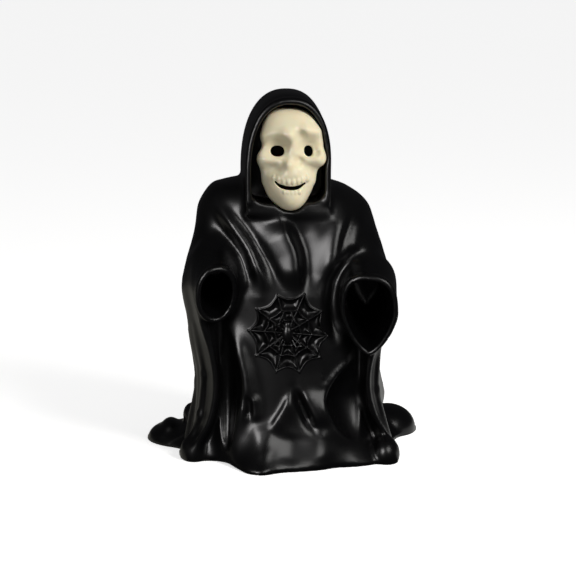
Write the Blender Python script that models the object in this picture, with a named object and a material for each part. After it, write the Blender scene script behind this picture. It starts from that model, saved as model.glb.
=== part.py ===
"""Grim reaper figurine: a black moulded figure with a cream skull mask set in its hood.

The free-form shapes are written as fields, negative inside and positive outside, which are
blended like clay and then turned into a mesh. The figure faces -Y and stands on z = 0.
"""

import math

import bmesh
import bpy
import numpy as np

# Driving sizes, metres
FIGURE_HEIGHT = 0.280
HOOD_WALL = 0.0034
HOOD_TOP_WALL = 0.0042
CUFF_WALL = 0.0034
LEFT_CUFF_DEPTH = 0.038
RIGHT_CUFF_DEPTH = 0.042
SKULL_WALL = 0.0022
SKULL_CLEARANCE = 0.0009
SEAT_GAP = 0.0003
WEB_RADIUS = 0.0299
WEB_DEPTH = 0.0036
WEB_THREAD = 0.0015
SPIDER_LENGTH = 0.0175
SPIDER_WIDTH = 0.0086
HEM_LIP = 0.0042

# Free forms are given in parts, of which the figure's height has this many
HEIGHT_IN_PARTS = 278.0
PART = FIGURE_HEIGHT / HEIGHT_IN_PARTS

# Corners of the space around each clay, in parts
ROBE_CORNERS = ((-118, -84, -6), (112, 96, 282))
SKULL_CORNERS = ((-27, -54, 188), (32, -4, 269))

# How finely the clay is sampled, in parts, and how many faces are kept
ROBE_STEP = 1.75
SKULL_STEP = 0.8
ROBE_FACES = 5900
SKULL_FACES = 1900

# The flat seat of the skull: how near it a vertex lies that is set on it, and its corners in (x, z)
FLATTEN_REACH = 0.6
SEAT_CORNERS = ((-24, 198), (28, 262))

# Body: half widths and depths by height, in parts
BODY_LEFT = [(0, 64), (30, 62), (60, 60), (100, 59), (134, 62), (165, 66), (190, 66), (215, 62)]
BODY_RIGHT = [(0, 64), (30, 62), (60, 60), (100, 60), (134, 63), (165, 63), (185, 59), (215, 50)]
BODY_FRONT = [(0, 64), (12, 60), (30, 56), (60, 52), (105, 49), (130, 47.5), (150, 45), (170, 41),
              (190, 36.5), (215, 31)]
BODY_BACK = [(0, 70), (12, 66), (30, 60), (60, 54), (100, 48), (140, 44), (175, 42), (215, 38)]
BODY_POWER = 2.6
SHOULDER_TOP = [(-80, 184), (-66, 199), (-60, 206), (-50, 209.6), (-36, 212.6), (0, 215), (31, 210),
                (45, 204.6), (54, 197.4), (62, 187), (80, 164)]
SHOULDER_ROLL = 12.0
ROLL_FRONT = 18.0
ROLL_BACK = 14.0
ROLL_REACH = 42.0

# Hem: the outline on the floor, seen from above, with a train to each side
HEM_OUTLINE = [(86, 17), (95, 36), (104, 48), (105, 62), (92, 76), (62, 84), (30, 87), (0, 88),
               (-32, 88), (-62, 86), (-88, 74), (-104, 50), (-113, 27), (-101, 4), (-87, -6),
               (-86, -20), (-81, -33), (-71, -39), (-58, -40), (-48, -46), (-39, -61), (-29, -75),
               (-19, -78), (-8, -73), (9, -69), (24, -65), (39, -58), (54, -55), (67, -49),
               (76, -40), (82, -27), (84, -8)]
HEM_FLARE = 13.0
TRAINS = [(math.radians(160), math.radians(26), 3.0), (math.radians(30), math.radians(20), 4.0)]

# How far in front of the middle the carving begins and is full
CARVED_FROM = (8.0, 30.0)

# Carving of the front: path in (x, z) from its top, half widths to its left and right, and height
FRONT_FOLDS = [
    ([(-62, 198), (-53, 182), (-45, 170), (-39, 163)], 7.0, 4.4, -3.0),
    ([(-51, 199), (-42, 185), (-32, 172), (-24, 161)], 4.0, 4.6, 4.4),
    ([(-37, 173), (-27, 160), (-19.5, 148), (-15.5, 139), (-16, 130), (-22, 121)], 5.6, 3.8, 5.6),
    ([(-38, 165), (-30, 152), (-26.5, 141), (-28, 130), (-34, 120)], 3.6, 3.8, -3.8),
    ([(-49, 167), (-40, 158), (-35, 147), (-34, 138), (-37, 127)], 5.2, 3.8, 5.2),
    ([(-30, 176), (-19, 162), (-9, 149), (-1, 131)], 6.5, 2.6, -3.4),
    ([(-13, 195), (-2, 184), (4, 172), (7, 160), (7, 147), (6, 132)], 16.0, 3.6, 6.8),
    ([(12, 199), (13.5, 180), (14.5, 163), (14, 145), (13, 126)], 4.4, 9.0, -5.4),
    ([(46, 199), (40, 184), (35, 171), (30.6, 151), (29.5, 137)], 6.0, 3.4, 5.0),
    ([(51, 196), (44, 182.5), (38, 170), (34, 152), (32.6, 139)], 2.8, 2.8, -2.8),
    ([(55, 193), (48, 181), (41.8, 169), (37.4, 153), (36.4, 140)], 3.2, 3.6, 4.2),
    ([(62, 191), (55, 179), (50, 170), (48, 158)], 3.6, 9.0, 4.6),
    ([(52, 158), (41, 152), (34, 140), (31.5, 122), (33, 104), (39, 88)], 5.0, 6.0, -6.0),
    ([(-46, 112), (-41, 97), (-36.5, 82), (-32.5, 68), (-32, 54), (-37, 36), (-42, 18)], 3.6, 8.0, 5.6),
    ([(-31, 56), (-29, 46), (-30, 36)], 2.4, 2.4, -2.6),
    ([(-26, 57), (-24, 46), (-25.6, 34)], 2.2, 4.6, 1.8),
    ([(3.2, 58), (-1, 48), (-7, 38), (-14, 28)], 2.6, 8.0, 2.6),
    ([(4.6, 60), (8, 50), (13, 39), (19, 27)], 3.0, 3.6, -5.0),
    ([(10.6, 60), (14.6, 50), (19.6, 40), (24, 29)], 2.6, 8.0, 2.4),
    ([(51, 79), (43, 75.5), (33.5, 65.5), (28.6, 57)], 3.0, 2.4, 1.8),
    ([(27, 60), (28, 50), (33, 40), (42, 28), (55, 17)], 10.0, 3.2, 4.6),
    ([(-24, 36), (-20, 20), (-15, 6)], 7.0, 11.0, 2.0),
    ([(24, 32), (25, 18), (26, 4)], 9.0, 8.0, 1.8),
    ([(5, 28), (3, 16), (1, 4)], 9.0, 9.0, -1.4),
]
# Deep hollows of the skirt: centre, reach to each side, and how round they are
SKIRT_HOLLOWS = [((51, -54, 50), (22.5, 24, 32, 24), 1.45), ((-46.5, -53, 62), (8.5, 19, 50, 19), 2.0)]
HOLLOW_BLEND = 3.0

# Lobes of the hem that puff up from the floor: centre and radii
HEM_LOBES = [((80, 49, 3), (22.5, 22, 18.5)), ((-88, 26, 2), (22.5, 24, 11.5)), ((-93, 22, 11), (6, 12, 6.2)),
             ((-76, 18, 21), (6.5, 9, 9.5)), ((74, -38, 6), (10.5, 12, 13)), ((-72, -30, 6), (10, 11, 11))]
LOBE_BLEND = 5.0

# Folds of the back: middle angle, drift with height, half width in radians, height
BACK_FOLDS = [(math.radians(35), 0.0005, 0.13, 4.0), (math.radians(58), 0.0003, 0.12, 3.2),
              (math.radians(80), -0.0002, 0.14, 4.2), (math.radians(104), 0.0002, 0.12, 3.4),
              (math.radians(126), -0.0004, 0.13, 4.0), (math.radians(147), -0.0006, 0.12, 3.2)]
BACK_FOLD_TOP = 178.0

# Drapes that hang from the sleeves to the floor: plan circles (x, y, radius) at heights
LEFT_DRAPE = [
    (0, [(-71, -36, 5), (-66, -16, 13), (-50, 6, 26)]),
    (14, [(-68, -39, 3.2), (-64, -17, 10), (-51, 6, 26)]),
    (28, [(-60.5, -43, 2.6), (-62, -18, 9), (-51, 6, 25.6)]),
    (48, [(-55, -45, 2.4), (-60, -20, 8.5), (-50, 6, 24)]),
    (68, [(-54, -46, 2.4), (-60, -21, 8.5), (-50, 6, 23.6)]),
    (88, [(-57, -47, 2.6), (-61.5, -22, 11), (-51.5, 5, 25)]),
    (108, [(-62, -48, 3.4), (-62, -23, 13), (-52.5, 4, 25)]),
    (132, [(-64, -46, 5.5), (-62, -21, 17), (-55, 2, 23.5)]),
    (172, [(-56, -24, 6), (-54, -12, 12), (-50, 2, 17)]),
]
RIGHT_DRAPE = [
    (0, [(76, -30, 6), (66, -12, 14), (49, 8, 25)]),
    (20, [(72.5, -34, 3), (64, -12, 11), (50, 8, 27)]),
    (36, [(65, -38, 2.4), (61, -13, 10), (50.5, 8, 28.5)]),
    (56, [(60, -41, 2.2), (59, -14, 9.5), (48.5, 6, 27)]),
    (80, [(61.5, -43, 2.4), (58.5, -15, 10.5), (47, 6, 23.5)]),
    (96, [(66, -42, 4), (59, -18, 14), (48, 5, 23)]),
    (126, [(65, -40, 8), (59, -18, 18.5), (51, 2, 23)]),
    (168, [(52, -20, 6), (52, -12, 12), (46, 2, 16)]),
]
DRAPE_BLEND = 5.0
# Flutes that run down the outer faces of the drapes: ends and radii
FLUTES = [((-67, -34, 104), 2.2, (-62.5, -33, 66), 2.2), ((-62.5, -33, 66), 2.2, (-66, -31, 34), 2.6),
          ((-66, -31, 34), 2.6, (-76, -28, 6), 3.2), ((-72, -18, 98), 2.6, (-68, -12, 56), 2.6),
          ((-68, -12, 56), 2.6, (-77, -8, 10), 3.4), ((68, -28, 92), 2.4, (66.5, -27, 52), 2.2),
          ((66.5, -27, 52), 2.2, (76, -24, 14), 3.0)]
FLUTE_BLEND = 5.0

# Sleeves: middle of the mouth, direction of the sleeve, direction that the mouth faces
LEFT_MOUTH = (-52.6, -58, 132)
LEFT_SLEEVE_AXIS = (0.06, -0.93, -0.36)
LEFT_MOUTH_FACES = (0.30, -0.93, -0.18)
LEFT_MOUTH_HALF = (14.4, 20.6, 21.0)
LEFT_MOUTH_POWERS = (2.2, 2.0)
LEFT_SLEEVE_GROWTH = (0.17, 0.08)
RIGHT_MOUTH = (59.5, -55, 118)
RIGHT_SLEEVE_AXIS = (-0.02, -0.93, -0.36)
RIGHT_MOUTH_FACES = (-0.14, -0.97, -0.12)
RIGHT_MOUTH_HALF = (20.6, 27.0, 32.0)
RIGHT_MOUTH_POWERS = (2.6, 1.45)
RIGHT_SLEEVE_GROWTH = (0.02, 0.05)
CUFF_ROUND = 12.0
CUFF_BEAD = 0.75
MOUTH_EDGE = 1.5
# Behind this stretch from the mouth, a cavity keeps the full wall whatever the form around it
MOUTH_STRETCH = (-14.0, -6.0)
SLEEVE_REACH = 40.0
UPPER_ARMS = [((-49, 0, 184), 18.0, (-54, -16, 152), 18.5), ((46, 0, 182), 17.0, (55, -18, 144), 18.5)]
ARM_BLEND = 10.0
SLEEVE_BLEND = 7.0

# Hood: turned a little to the viewer's right about a pivot
HOOD_TURN = math.radians(6)
HOOD_PIVOT = (-3.2, -5.0)
HOOD_SPRING = 222.0
HOOD_HALF_WIDTH = [(-34, 30.7), (-24, 31.4), (-8, 32.2), (60, 32.4)]
HOOD_RISE = [(-34, 51.0), (-24, 54.0), (-6, 56.0), (60, 54.0)]
HOOD_POWER = 2.34
HOOD_RIM = -33.5
HOOD_LEAN = 0.030
HOOD_FOOT = 178.0
HOOD_BACK = 37.0
HOOD_BLEND = 5.0
RIM_EDGE = 3.0
RIM_BEAD = 0.72
CROWN_EDGE = 4.0
COLLAR_HEIGHT = 195.0
COLLAR_RISE = 3.0
COLLAR_HALF = 24.0
COLLAR_ROUND = 9.0
SEAT_PLANE = -9.0
SEAT_EDGE = 0.8
OPENING_EDGE = 1.2

# Skull mask: middle of the face and its cut back
SKULL_MIDDLE = 2.5
SKULL_POWER = 2.4
SKULL_LEAN = 0.17
SKULL_LEAN_FROM = 241.0
TEMPLES = (-37.0, -30.0)
CRANIUM_TAPER = 1.6
JAW_TAPER = 1.2
JAW_BLEND = 5.0
BRIDGE_BLEND = 3.0
TOOTH_BLEND = 0.5
HOLE_EDGE = 0.5
CRANIUM = (0.8, -28.0, 241.0)
CRANIUM_HALF = (24.2, 16.5, 25.2, 40.0)
JAW = (-1.8, -26.0, 214.0)
JAW_HALF = (20.8, 20.5, 23.5, 40.0)
# Forms of the face, from its middle: centre, radii and blend
FACE_MOUNDS = [
    ((-0.2, -37.0, 202.5), (11.6, 11.0, 11.0), 4.0),
    ((-20.6, -36.0, 229.6), (4.8, 5.4, 5.2), 6.0),
    ((20.3, -36.0, 230.0), (4.8, 5.4, 5.2), 6.0),
    ((-12.6, -38.6, 229.0), (8.5, 5.4, 4.6), 6.0),
    ((13.8, -38.6, 229.2), (7.6, 5.2, 4.6), 6.0),
    ((-0.8, -41.0, 219.4), (12.0, 6.4, 6.4), 6.0),
    ((-1.5, -45.0, 226.6), (2.8, 4.2, 3.8), 2.4),
    ((-0.2, -40.6, 247.4), (5.4, 5.4, 4.6), 8.0),
]
FACE_RIDGES = [((-3.0, -41.8, 247.4), 2.8, (-18.0, -36.2, 245.6), 2.4, 8.0),
               ((11.0, -40.6, 249.6), 2.8, (20.3, -37.0, 249.4), 2.3, 7.0),
               ((-20.0, -33.5, 225.0), 3.2, (-18.0, -33.0, 213.5), 3.0, 4.0),
               ((17.6, -33.5, 225.0), 3.2, (16.6, -33.0, 214.0), 3.0, 4.0)]
FACE_HOLLOWS = [
    ((-10.8, -50.0, 238.8), (10.6, 12.2, 7.6), 6.0),
    ((13.4, -50.0, 239.4), (10.4, 12.6, 7.8), 5.0),
    ((5.8, -50.0, 246.0), (3.6, 8.6, 6.0), 5.0),
    ((17.4, -46.0, 235.6), (4.4, 7.4, 4.2), 1.5),
    ((5.8, -50.0, 229.4), (3.4, 9.4, 4.0), 3.0),
    ((-6.4, -50.0, 229.0), (2.8, 5.8, 3.0), 3.0),
    ((-15.0, -50.0, 221.6), (7.5, 8.8, 4.6), 5.0),
    ((14.5, -50.0, 221.6), (6.5, 8.8, 4.6), 5.0),
]
NOSE_BRIDGE = ((1.2, -40.4, 243.0), 1.7, (-0.2, -42.2, 231.0), 1.9)
# Eyes: place in x and z, half width and height, and how far the hole leans inward
EYE_DEPTH = -42.0
HOLE_END = -22.0
EYES = [(-10.3, 235.4, 5.0, 3.8, 0.0), (13.4, 235.4, 3.3, 3.8, 0.25)]
SMILE = [(-11.7, 213.4), (-8.8, 210.6), (-4.0, 209.2), (1.5, 208.8), (6.2, 209.9), (9.6, 212.2)]
SMILE_HALF_HEIGHT = 1.45
TEETH_FRONT = -46.9
TEETH_CURVE = 0.022
TEETH_RISE = 0.012
# Rows of teeth: how many, pitch, middle, height and the radii of one
TOOTH_ROWS = [(8, 3.1, 0.2, 214.4, (1.75, 2.0, 3.1)), (5, 2.6, 0.4, 205.8, (1.4, 1.5, 1.9))]

# Web: middle on the chest and how it is divided
WEB_MIDDLE = (-0.4, 102.0)
WEB_SPOKES = [(-5.9, 1.02), (31.0, 0.99), (66.2, 1.03), (104.8, 0.95), (143.0, 0.93), (177.9, 0.95),
              (217.2, 0.96), (254.0, 1.01), (287.0, 1.03), (322.2, 1.03)]
WEB_RINGS = [0.12, 0.34, 0.61, 1.0]
WEB_SAG = [0.0, 0.06, 0.10, 0.16]


def smooth_min(a, b, blend):
    """Smaller of two fields, with the valley between them filled over the blend's width."""
    share = np.clip(0.5 + 0.5 * (b - a) / blend, 0.0, 1.0)
    return b + (a - b) * share - blend * share * (1.0 - share)


def smooth_max(a, b, blend):
    return -smooth_min(-a, -b, blend)


def smooth_step(value, low, high):
    share = np.clip((value - low) / (high - low), 0.0, 1.0)
    return share * share * (3.0 - 2.0 * share)


def curve(place, knots):
    """Smooth curve through (place, value) knots, level beyond its ends."""
    places = np.array([knot[0] for knot in knots], float)
    values = np.array([knot[1] for knot in knots], float)
    slopes = np.gradient(values, places)
    place = np.clip(place, places[0], places[-1])
    index = np.clip(np.searchsorted(places, place, side="right") - 1, 0, len(places) - 2)
    width = places[index + 1] - places[index]
    t = (place - places[index]) / width
    start, end = values[index], values[index + 1]
    leave, arrive = slopes[index] * width, slopes[index + 1] * width
    return ((2 * t**3 - 3 * t**2 + 1) * start + (t**3 - 2 * t**2 + t) * leave
            + (3 * t**2 - 2 * t**3) * end + (t**3 - t**2) * arrive)


def rounded_path(path, rounds=2):
    """The path with its corners cut, keeping both ends."""
    points = np.array(path, float)
    for _ in range(rounds):
        near = 0.75 * points[:-1] + 0.25 * points[1:]
        far = 0.25 * points[:-1] + 0.75 * points[1:]
        points = np.vstack([points[:1], np.stack([near, far], 1).reshape(-1, 2), points[-1:]])
    return points


def along_path(u, v, path):
    """Distance to a flat path, the share of its length at the nearest place, and the side, 1 or -1."""
    lengths = np.hypot(*(path[1:] - path[:-1]).T)
    total = lengths.sum()
    best = np.full(np.broadcast(u, v).shape, 1e9)
    place = np.zeros_like(best)
    side = np.ones_like(best)
    run = 0.0
    for start, end, length in zip(path[:-1], path[1:], lengths):
        du, dv = (end - start) / length
        t = np.clip((u - start[0]) * du + (v - start[1]) * dv, 0.0, length)
        distance = np.hypot(u - start[0] - t * du, v - start[1] - t * dv)
        nearer = distance < best
        best = np.where(nearer, distance, best)
        place = np.where(nearer, (run + t) / total, place)
        side = np.where(nearer, np.where(du * (v - start[1]) > dv * (u - start[0]), 1.0, -1.0), side)
        run += length
    return best, place, side


def folds(u, v, strokes):
    """Height of the carved strokes over the flat (u, v)."""
    u, v = np.broadcast_arrays(u, v)
    height = np.zeros(u.shape)
    for path, left, right, rise in strokes:
        path = rounded_path(path)
        reach = 3.0 * max(left, right)
        near = ((u > path[:, 0].min() - reach) & (u < path[:, 0].max() + reach)
                & (v > path[:, 1].min() - reach) & (v < path[:, 1].max() + reach))
        distance, place, side = along_path(u[near], v[near], path)
        taper = 0.15 + 0.85 * smooth_step(place, 0.0, 0.3) * smooth_step(1.0 - place, 0.0, 0.3)
        width = np.where(side > 0.0, right, left)
        height[near] += rise * taper * np.exp(-(distance / width) ** 2)
    return height


def oval(u, v, half_u, half_v, power):
    """Signed distance, measured from the middle, to a superellipse."""
    reach = np.maximum(np.hypot(u, v), 1e-3)
    value = ((np.abs(u) / half_u) ** power + (np.abs(v) / half_v) ** power) ** (1.0 / power)
    return reach - reach / np.maximum(value, 1e-5)


def ellipsoid(x, y, z, centre, radii):
    """Close to the distance from an ellipsoid; radii may differ from place to place."""
    px, py, pz = x - centre[0], y - centre[1], z - centre[2]
    level = np.sqrt((px / radii[0]) ** 2 + (py / radii[1]) ** 2 + (pz / radii[2]) ** 2)
    steep = np.sqrt((px / radii[0] ** 2) ** 2 + (py / radii[1] ** 2) ** 2 + (pz / radii[2] ** 2) ** 2)
    return level * (level - 1.0) / np.maximum(steep, 1e-6)


def superellipsoid(x, y, z, centre, half, narrower, power):
    """A rounded block that reaches half[1] to the front of its centre and half[3] to its back."""
    px, py, pz = x - centre[0], y - centre[1], z - centre[2]
    depth = np.where(py < 0.0, half[1], half[3])
    level = ((np.abs(px) / (half[0] - narrower)) ** power + (np.abs(py) / depth) ** 2.3
             + (np.abs(pz) / half[2]) ** power) ** (1.0 / power)
    reach = np.sqrt(px**2 + py**2 + pz**2)
    return reach - reach / np.maximum(level, 1e-4)


def round_cone(x, y, z, start, start_radius, end, end_radius):
    """A rounded bar between two points with a radius at each."""
    start, end = np.array(start, float), np.array(end, float)
    run = end - start
    t = ((x - start[0]) * run[0] + (y - start[1]) * run[1] + (z - start[2]) * run[2]) / (run @ run)
    t = np.clip(t, 0.0, 1.0)
    gap = np.sqrt((x - start[0] - t * run[0]) ** 2 + (y - start[1] - t * run[1]) ** 2
                  + (z - start[2] - t * run[2]) ** 2)
    return gap - (start_radius + t * (end_radius - start_radius))


def hem_radius(angle):
    """Radius of the hem's outline at an angle seen from above."""
    outline = np.array(HEM_OUTLINE, float)
    angles = np.unwrap(np.arctan2(outline[:, 1], outline[:, 0]))
    radii = np.hypot(outline[:, 0], outline[:, 1])
    turn = 2.0 * math.pi
    knots = [(a + lap, r) for lap in (-turn, 0.0, turn) for a, r in zip(angles, radii)]
    return curve(np.mod(angle, turn), knots)


def front_depth(x, z):
    """How far forward the plain front of the body stands at (x, z)."""
    half = np.where(x < 0.0, curve(z, BODY_LEFT), curve(z, BODY_RIGHT))
    share = np.clip(1.0 - (np.abs(x) / half) ** BODY_POWER, 0.0, 1.0)
    return curve(z, BODY_FRONT) * share ** (1.0 / BODY_POWER)


def torso(x, y, carved_y, z):
    """Shoulders, skirt, hem and trains; carved_y is y moved by the folds of the front."""
    lip = HEM_LIP / PART
    height = np.maximum(z, 0.0)
    half_x = np.where(x < 0.0, curve(height, BODY_LEFT), curve(height, BODY_RIGHT))
    half_y = np.where(carved_y < 0.0, curve(height, BODY_FRONT), curve(height, BODY_BACK))
    reach = np.maximum(np.hypot(x, carved_y), 1e-3)
    value = ((np.abs(x) / half_x) ** BODY_POWER + (np.abs(carved_y) / half_y) ** BODY_POWER)
    radius = reach / np.maximum(value ** (1.0 / BODY_POWER), 1e-5)

    angle = np.arctan2(y, x)
    fade = smooth_step(BACK_FOLD_TOP - height, 0.0, 110.0)
    for middle, drift, half_width, rise in BACK_FOLDS:
        away = (angle - middle - drift * height) / half_width
        radius = radius + rise * fade * np.exp(-away**2)

    flare = HEM_FLARE
    for middle, half_width, thickness in TRAINS:
        flare = flare + thickness * np.exp(-((angle - middle) / half_width) ** 2)
    spread = np.exp(-((height / flare) ** 1.3))
    radius = radius * (1.0 - spread) + hem_radius(angle) * spread
    under = np.clip(1.0 - height / lip, 0.0, 1.0)
    radius = radius - lip * (1.0 - np.sqrt(1.0 - 0.96 * under**2))

    roll = np.where(y < 0.0, ROLL_FRONT, ROLL_BACK) * (y / ROLL_REACH) ** 2
    top = curve(x, SHOULDER_TOP) - roll
    shape = smooth_max(reach - radius, z - top, SHOULDER_ROLL)
    for centre, half, power in SKIRT_HOLLOWS:
        shape = smooth_max(shape, -superellipsoid(x, y, z, centre, half, 0.0, power), HOLLOW_BLEND)
    for centre, radii in HEM_LOBES:
        shape = smooth_min(shape, ellipsoid(x, y, z, centre, radii), LOBE_BLEND)
    return shape


def drape(x, y, z, stations):
    """A hanging fold whose plan is a chain of circles that change with height."""
    heights = [station[0] for station in stations]
    circles = []
    for index in range(3):
        circles.append([curve(z, [(h, station[1][index][axis]) for h, station in zip(heights, stations)])
                        for axis in range(3)])
    best = None
    for (x0, y0, r0), (x1, y1, r1) in zip(circles[:-1], circles[1:]):
        run_x, run_y = x1 - x0, y1 - y0
        t = np.clip(((x - x0) * run_x + (y - y0) * run_y) / (run_x**2 + run_y**2), 0.0, 1.0)
        bar = np.hypot(x - x0 - t * run_x, y - y0 - t * run_y) - (r0 + t * (r1 - r0))
        best = bar if best is None else smooth_min(best, bar, DRAPE_BLEND)
    return smooth_max(best, z - heights[-1], ARM_BLEND)


def sleeve_frame(axis, faces):
    """Side, upward and outward directions of a sleeve, and the direction its mouth faces."""
    axis = np.array(axis, float) / np.linalg.norm(axis)
    faces = np.array(faces, float) / np.linalg.norm(faces)
    side = np.cross(np.array([0.0, 0.0, 1.0]), -axis)
    side /= np.linalg.norm(side)
    up = np.cross(-axis, side)
    return side, up, axis, faces


def sleeve(x, y, z, mouth, axis, faces, half, powers, growth, depth):
    """Outside and cavity of a sleeve, an oval tube, and the distance out from its mouth's plane."""
    side, up, axis, faces = sleeve_frame(axis, faces)
    px, py, pz = x - mouth[0], y - mouth[1], z - mouth[2]
    out = px * faces[0] + py * faces[1] + pz * faces[2]
    run = px * axis[0] + py * axis[1] + pz * axis[2]
    u = px * side[0] + py * side[1] + pz * side[2]
    v = px * up[0] + py * up[1] + pz * up[2]
    back = np.clip(-run, 0.0, SLEEVE_REACH)
    half_u = half[0] + growth[0] * back
    half_v = np.where(v > 0.0, half[1], half[2]) + growth[1] * back
    power = np.where(v > 0.0, powers[0], powers[1])
    section = oval(u, v, half_u, half_v, power)
    wall = CUFF_WALL / PART
    outside = smooth_max(section, out, MOUTH_EDGE)
    outside = smooth_max(outside, -run - SLEEVE_REACH, ARM_BLEND)
    rim = np.hypot(section + 0.5 * wall, out + 0.3 * wall) - CUFF_BEAD * wall
    outside = smooth_min(outside, rim, MOUTH_EDGE)
    cavity = smooth_max(section + wall, -out - depth / PART, CUFF_ROUND)
    return outside, cavity, out


def open_sleeve(shape, cavity, out):
    """Cut a sleeve's cavity, less deep where it would come within a wall of the outside."""
    mouth = smooth_step(out, *MOUTH_STRETCH)
    guard = shape + CUFF_WALL / PART - SLEEVE_REACH * mouth
    return smooth_max(shape, -smooth_max(cavity, guard, MOUTH_EDGE), MOUTH_EDGE)


def hood_axes(x, y):
    """Place in the hood's own turned directions, measured from the pivot."""
    cos, sin = math.cos(HOOD_TURN), math.sin(HOOD_TURN)
    px, py = x - HOOD_PIVOT[0], y - HOOD_PIVOT[1]
    return px * cos + py * sin, -px * sin + py * cos


def hood(x, y, z):
    """Outside and cavity of the hood: a pointed arch drawn back into a dome."""
    across, along = hood_axes(x, y)
    shrink = np.sqrt(np.clip(1.0 - (np.maximum(along, 0.0) / HOOD_BACK) ** 2, 0.02, 1.0))
    half = curve(along, HOOD_HALF_WIDTH) * shrink
    rise = curve(along, HOOD_RISE) * shrink
    above = np.maximum(z - HOOD_SPRING, 0.0)
    across = across - HOOD_LEAN * above
    outside = oval(across, above, half, rise, HOOD_POWER)
    outside = smooth_max(outside, HOOD_RIM - along, RIM_EDGE)
    outside = smooth_max(outside, along - 0.97 * HOOD_BACK, CROWN_EDGE)
    outside = smooth_max(outside, HOOD_FOOT - z, CROWN_EDGE)
    wall = HOOD_WALL / PART
    bead = np.hypot(oval(across, above, half, rise, HOOD_POWER) + 0.5 * wall, along - HOOD_RIM - 1.0)
    bead = smooth_max(bead - RIM_BEAD * wall, COLLAR_HEIGHT - z, RIM_EDGE)
    outside = smooth_min(outside, bead, MOUTH_EDGE)
    inside = oval(across, above, half - wall, rise - HOOD_TOP_WALL / PART, HOOD_POWER)
    collar = COLLAR_HEIGHT + COLLAR_RISE * (across / COLLAR_HALF) ** 2
    inside = smooth_max(inside, collar - z, COLLAR_ROUND)
    inside = smooth_max(inside, y - SEAT_PLANE, SEAT_EDGE)
    return outside, inside


def skull_form(x, y, z):
    """Outer form of the skull before its holes are cut."""
    x = x - SKULL_MIDDLE
    narrow = smooth_step(y, *TEMPLES)
    leaning = x + SKULL_LEAN * np.maximum(z - SKULL_LEAN_FROM, 0.0)
    form = superellipsoid(leaning, y, z, CRANIUM, CRANIUM_HALF, CRANIUM_TAPER * narrow, SKULL_POWER)
    form = smooth_min(form, superellipsoid(x, y, z, JAW, JAW_HALF, JAW_TAPER * narrow, 2.0), JAW_BLEND)
    for centre, radii, blend in FACE_MOUNDS:
        form = smooth_min(form, ellipsoid(x, y, z, centre, radii), blend)
    for start, start_radius, end, end_radius, blend in FACE_RIDGES:
        form = smooth_min(form, round_cone(x, y, z, start, start_radius, end, end_radius), blend)
    for centre, radii, blend in FACE_HOLLOWS:
        form = smooth_max(form, -ellipsoid(x, y, z, centre, radii), blend)
    bridge = round_cone(x, y, z, *NOSE_BRIDGE)
    return smooth_min(form, bridge, BRIDGE_BLEND)


def skull_teeth(x, y, z, form):
    """The form with its rows of teeth."""
    x = x - SKULL_MIDDLE
    for count, pitch, row_middle, height, radii in TOOTH_ROWS:
        for index in range(count):
            middle = (index - 0.5 * (count - 1)) * pitch
            centre = (row_middle + middle, TEETH_FRONT + TEETH_CURVE * middle**2, height + TEETH_RISE * middle**2)
            form = smooth_min(form, ellipsoid(x, y, z, centre, radii), TOOTH_BLEND)
    return form


def skull_mask(x, y, z):
    """The moulded mask: a shell open at its back, with eye holes and a cut smile."""
    form = skull_form(x, y, z)
    wall = SKULL_WALL / PART
    shell = smooth_max(skull_teeth(x, y, z, form), -(form + wall), HOLE_EDGE)
    back = SEAT_PLANE - SEAT_GAP / PART
    shell = smooth_max(shell, y - back, HOLE_EDGE)
    for middle, height, half_x, half_z, lean in EYES:
        across = x - SKULL_MIDDLE - middle + lean * (y - EYE_DEPTH)
        hole = oval(across, z - height, half_x, half_z, 2.2)
        shell = smooth_max(shell, -smooth_max(hole, y - HOLE_END, HOLE_EDGE), 2.0 * HOLE_EDGE)
    path = rounded_path([(u + SKULL_MIDDLE, v) for u, v in SMILE])
    distance, place, _ = along_path(x, z, path)
    gape = SMILE_HALF_HEIGHT * (0.5 + 0.5 * smooth_step(place, 0.0, 0.3) * smooth_step(1 - place, 0.0, 0.3))
    return smooth_max(shell, -smooth_max(distance - gape, y - HOLE_END, HOLE_EDGE), HOLE_EDGE)


def robe_clay(x, y, z):
    """The whole black figure but for its web."""
    carved_y = y + folds(x, z, FRONT_FOLDS) * smooth_step(-y, *CARVED_FROM)
    shape = torso(x, y, carved_y, z)
    shape = smooth_min(shape, drape(x, y, z, LEFT_DRAPE), DRAPE_BLEND)
    shape = smooth_min(shape, drape(x, y, z, RIGHT_DRAPE), DRAPE_BLEND)
    for start, start_radius, end, end_radius in FLUTES:
        flute = round_cone(x, y, z, start, start_radius, end, end_radius)
        shape = smooth_min(shape, flute, FLUTE_BLEND)
    for start, start_radius, end, end_radius in UPPER_ARMS:
        arm = round_cone(x, carved_y, z, start, start_radius, end, end_radius)
        shape = smooth_min(shape, arm, ARM_BLEND)
    sleeves = [sleeve(x, y, z, LEFT_MOUTH, LEFT_SLEEVE_AXIS, LEFT_MOUTH_FACES, LEFT_MOUTH_HALF,
                      LEFT_MOUTH_POWERS, LEFT_SLEEVE_GROWTH, LEFT_CUFF_DEPTH),
               sleeve(x, y, z, RIGHT_MOUTH, RIGHT_SLEEVE_AXIS, RIGHT_MOUTH_FACES, RIGHT_MOUTH_HALF,
                      RIGHT_MOUTH_POWERS, RIGHT_SLEEVE_GROWTH, RIGHT_CUFF_DEPTH)]
    for outside, _, _ in sleeves:
        shape = smooth_min(shape, outside, SLEEVE_BLEND)
    for _, cavity, out in sleeves:
        shape = open_sleeve(shape, cavity, out)
    outside, inside = hood(x, y, z)
    shape = smooth_min(shape, outside, HOOD_BLEND)
    shape = smooth_max(shape, -inside, OPENING_EDGE)
    seat = smooth_max(skull_form(x, y, z) - SKULL_CLEARANCE / PART, y - SEAT_PLANE, SEAT_EDGE)
    return smooth_max(shape, -seat, OPENING_EDGE)


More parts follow.
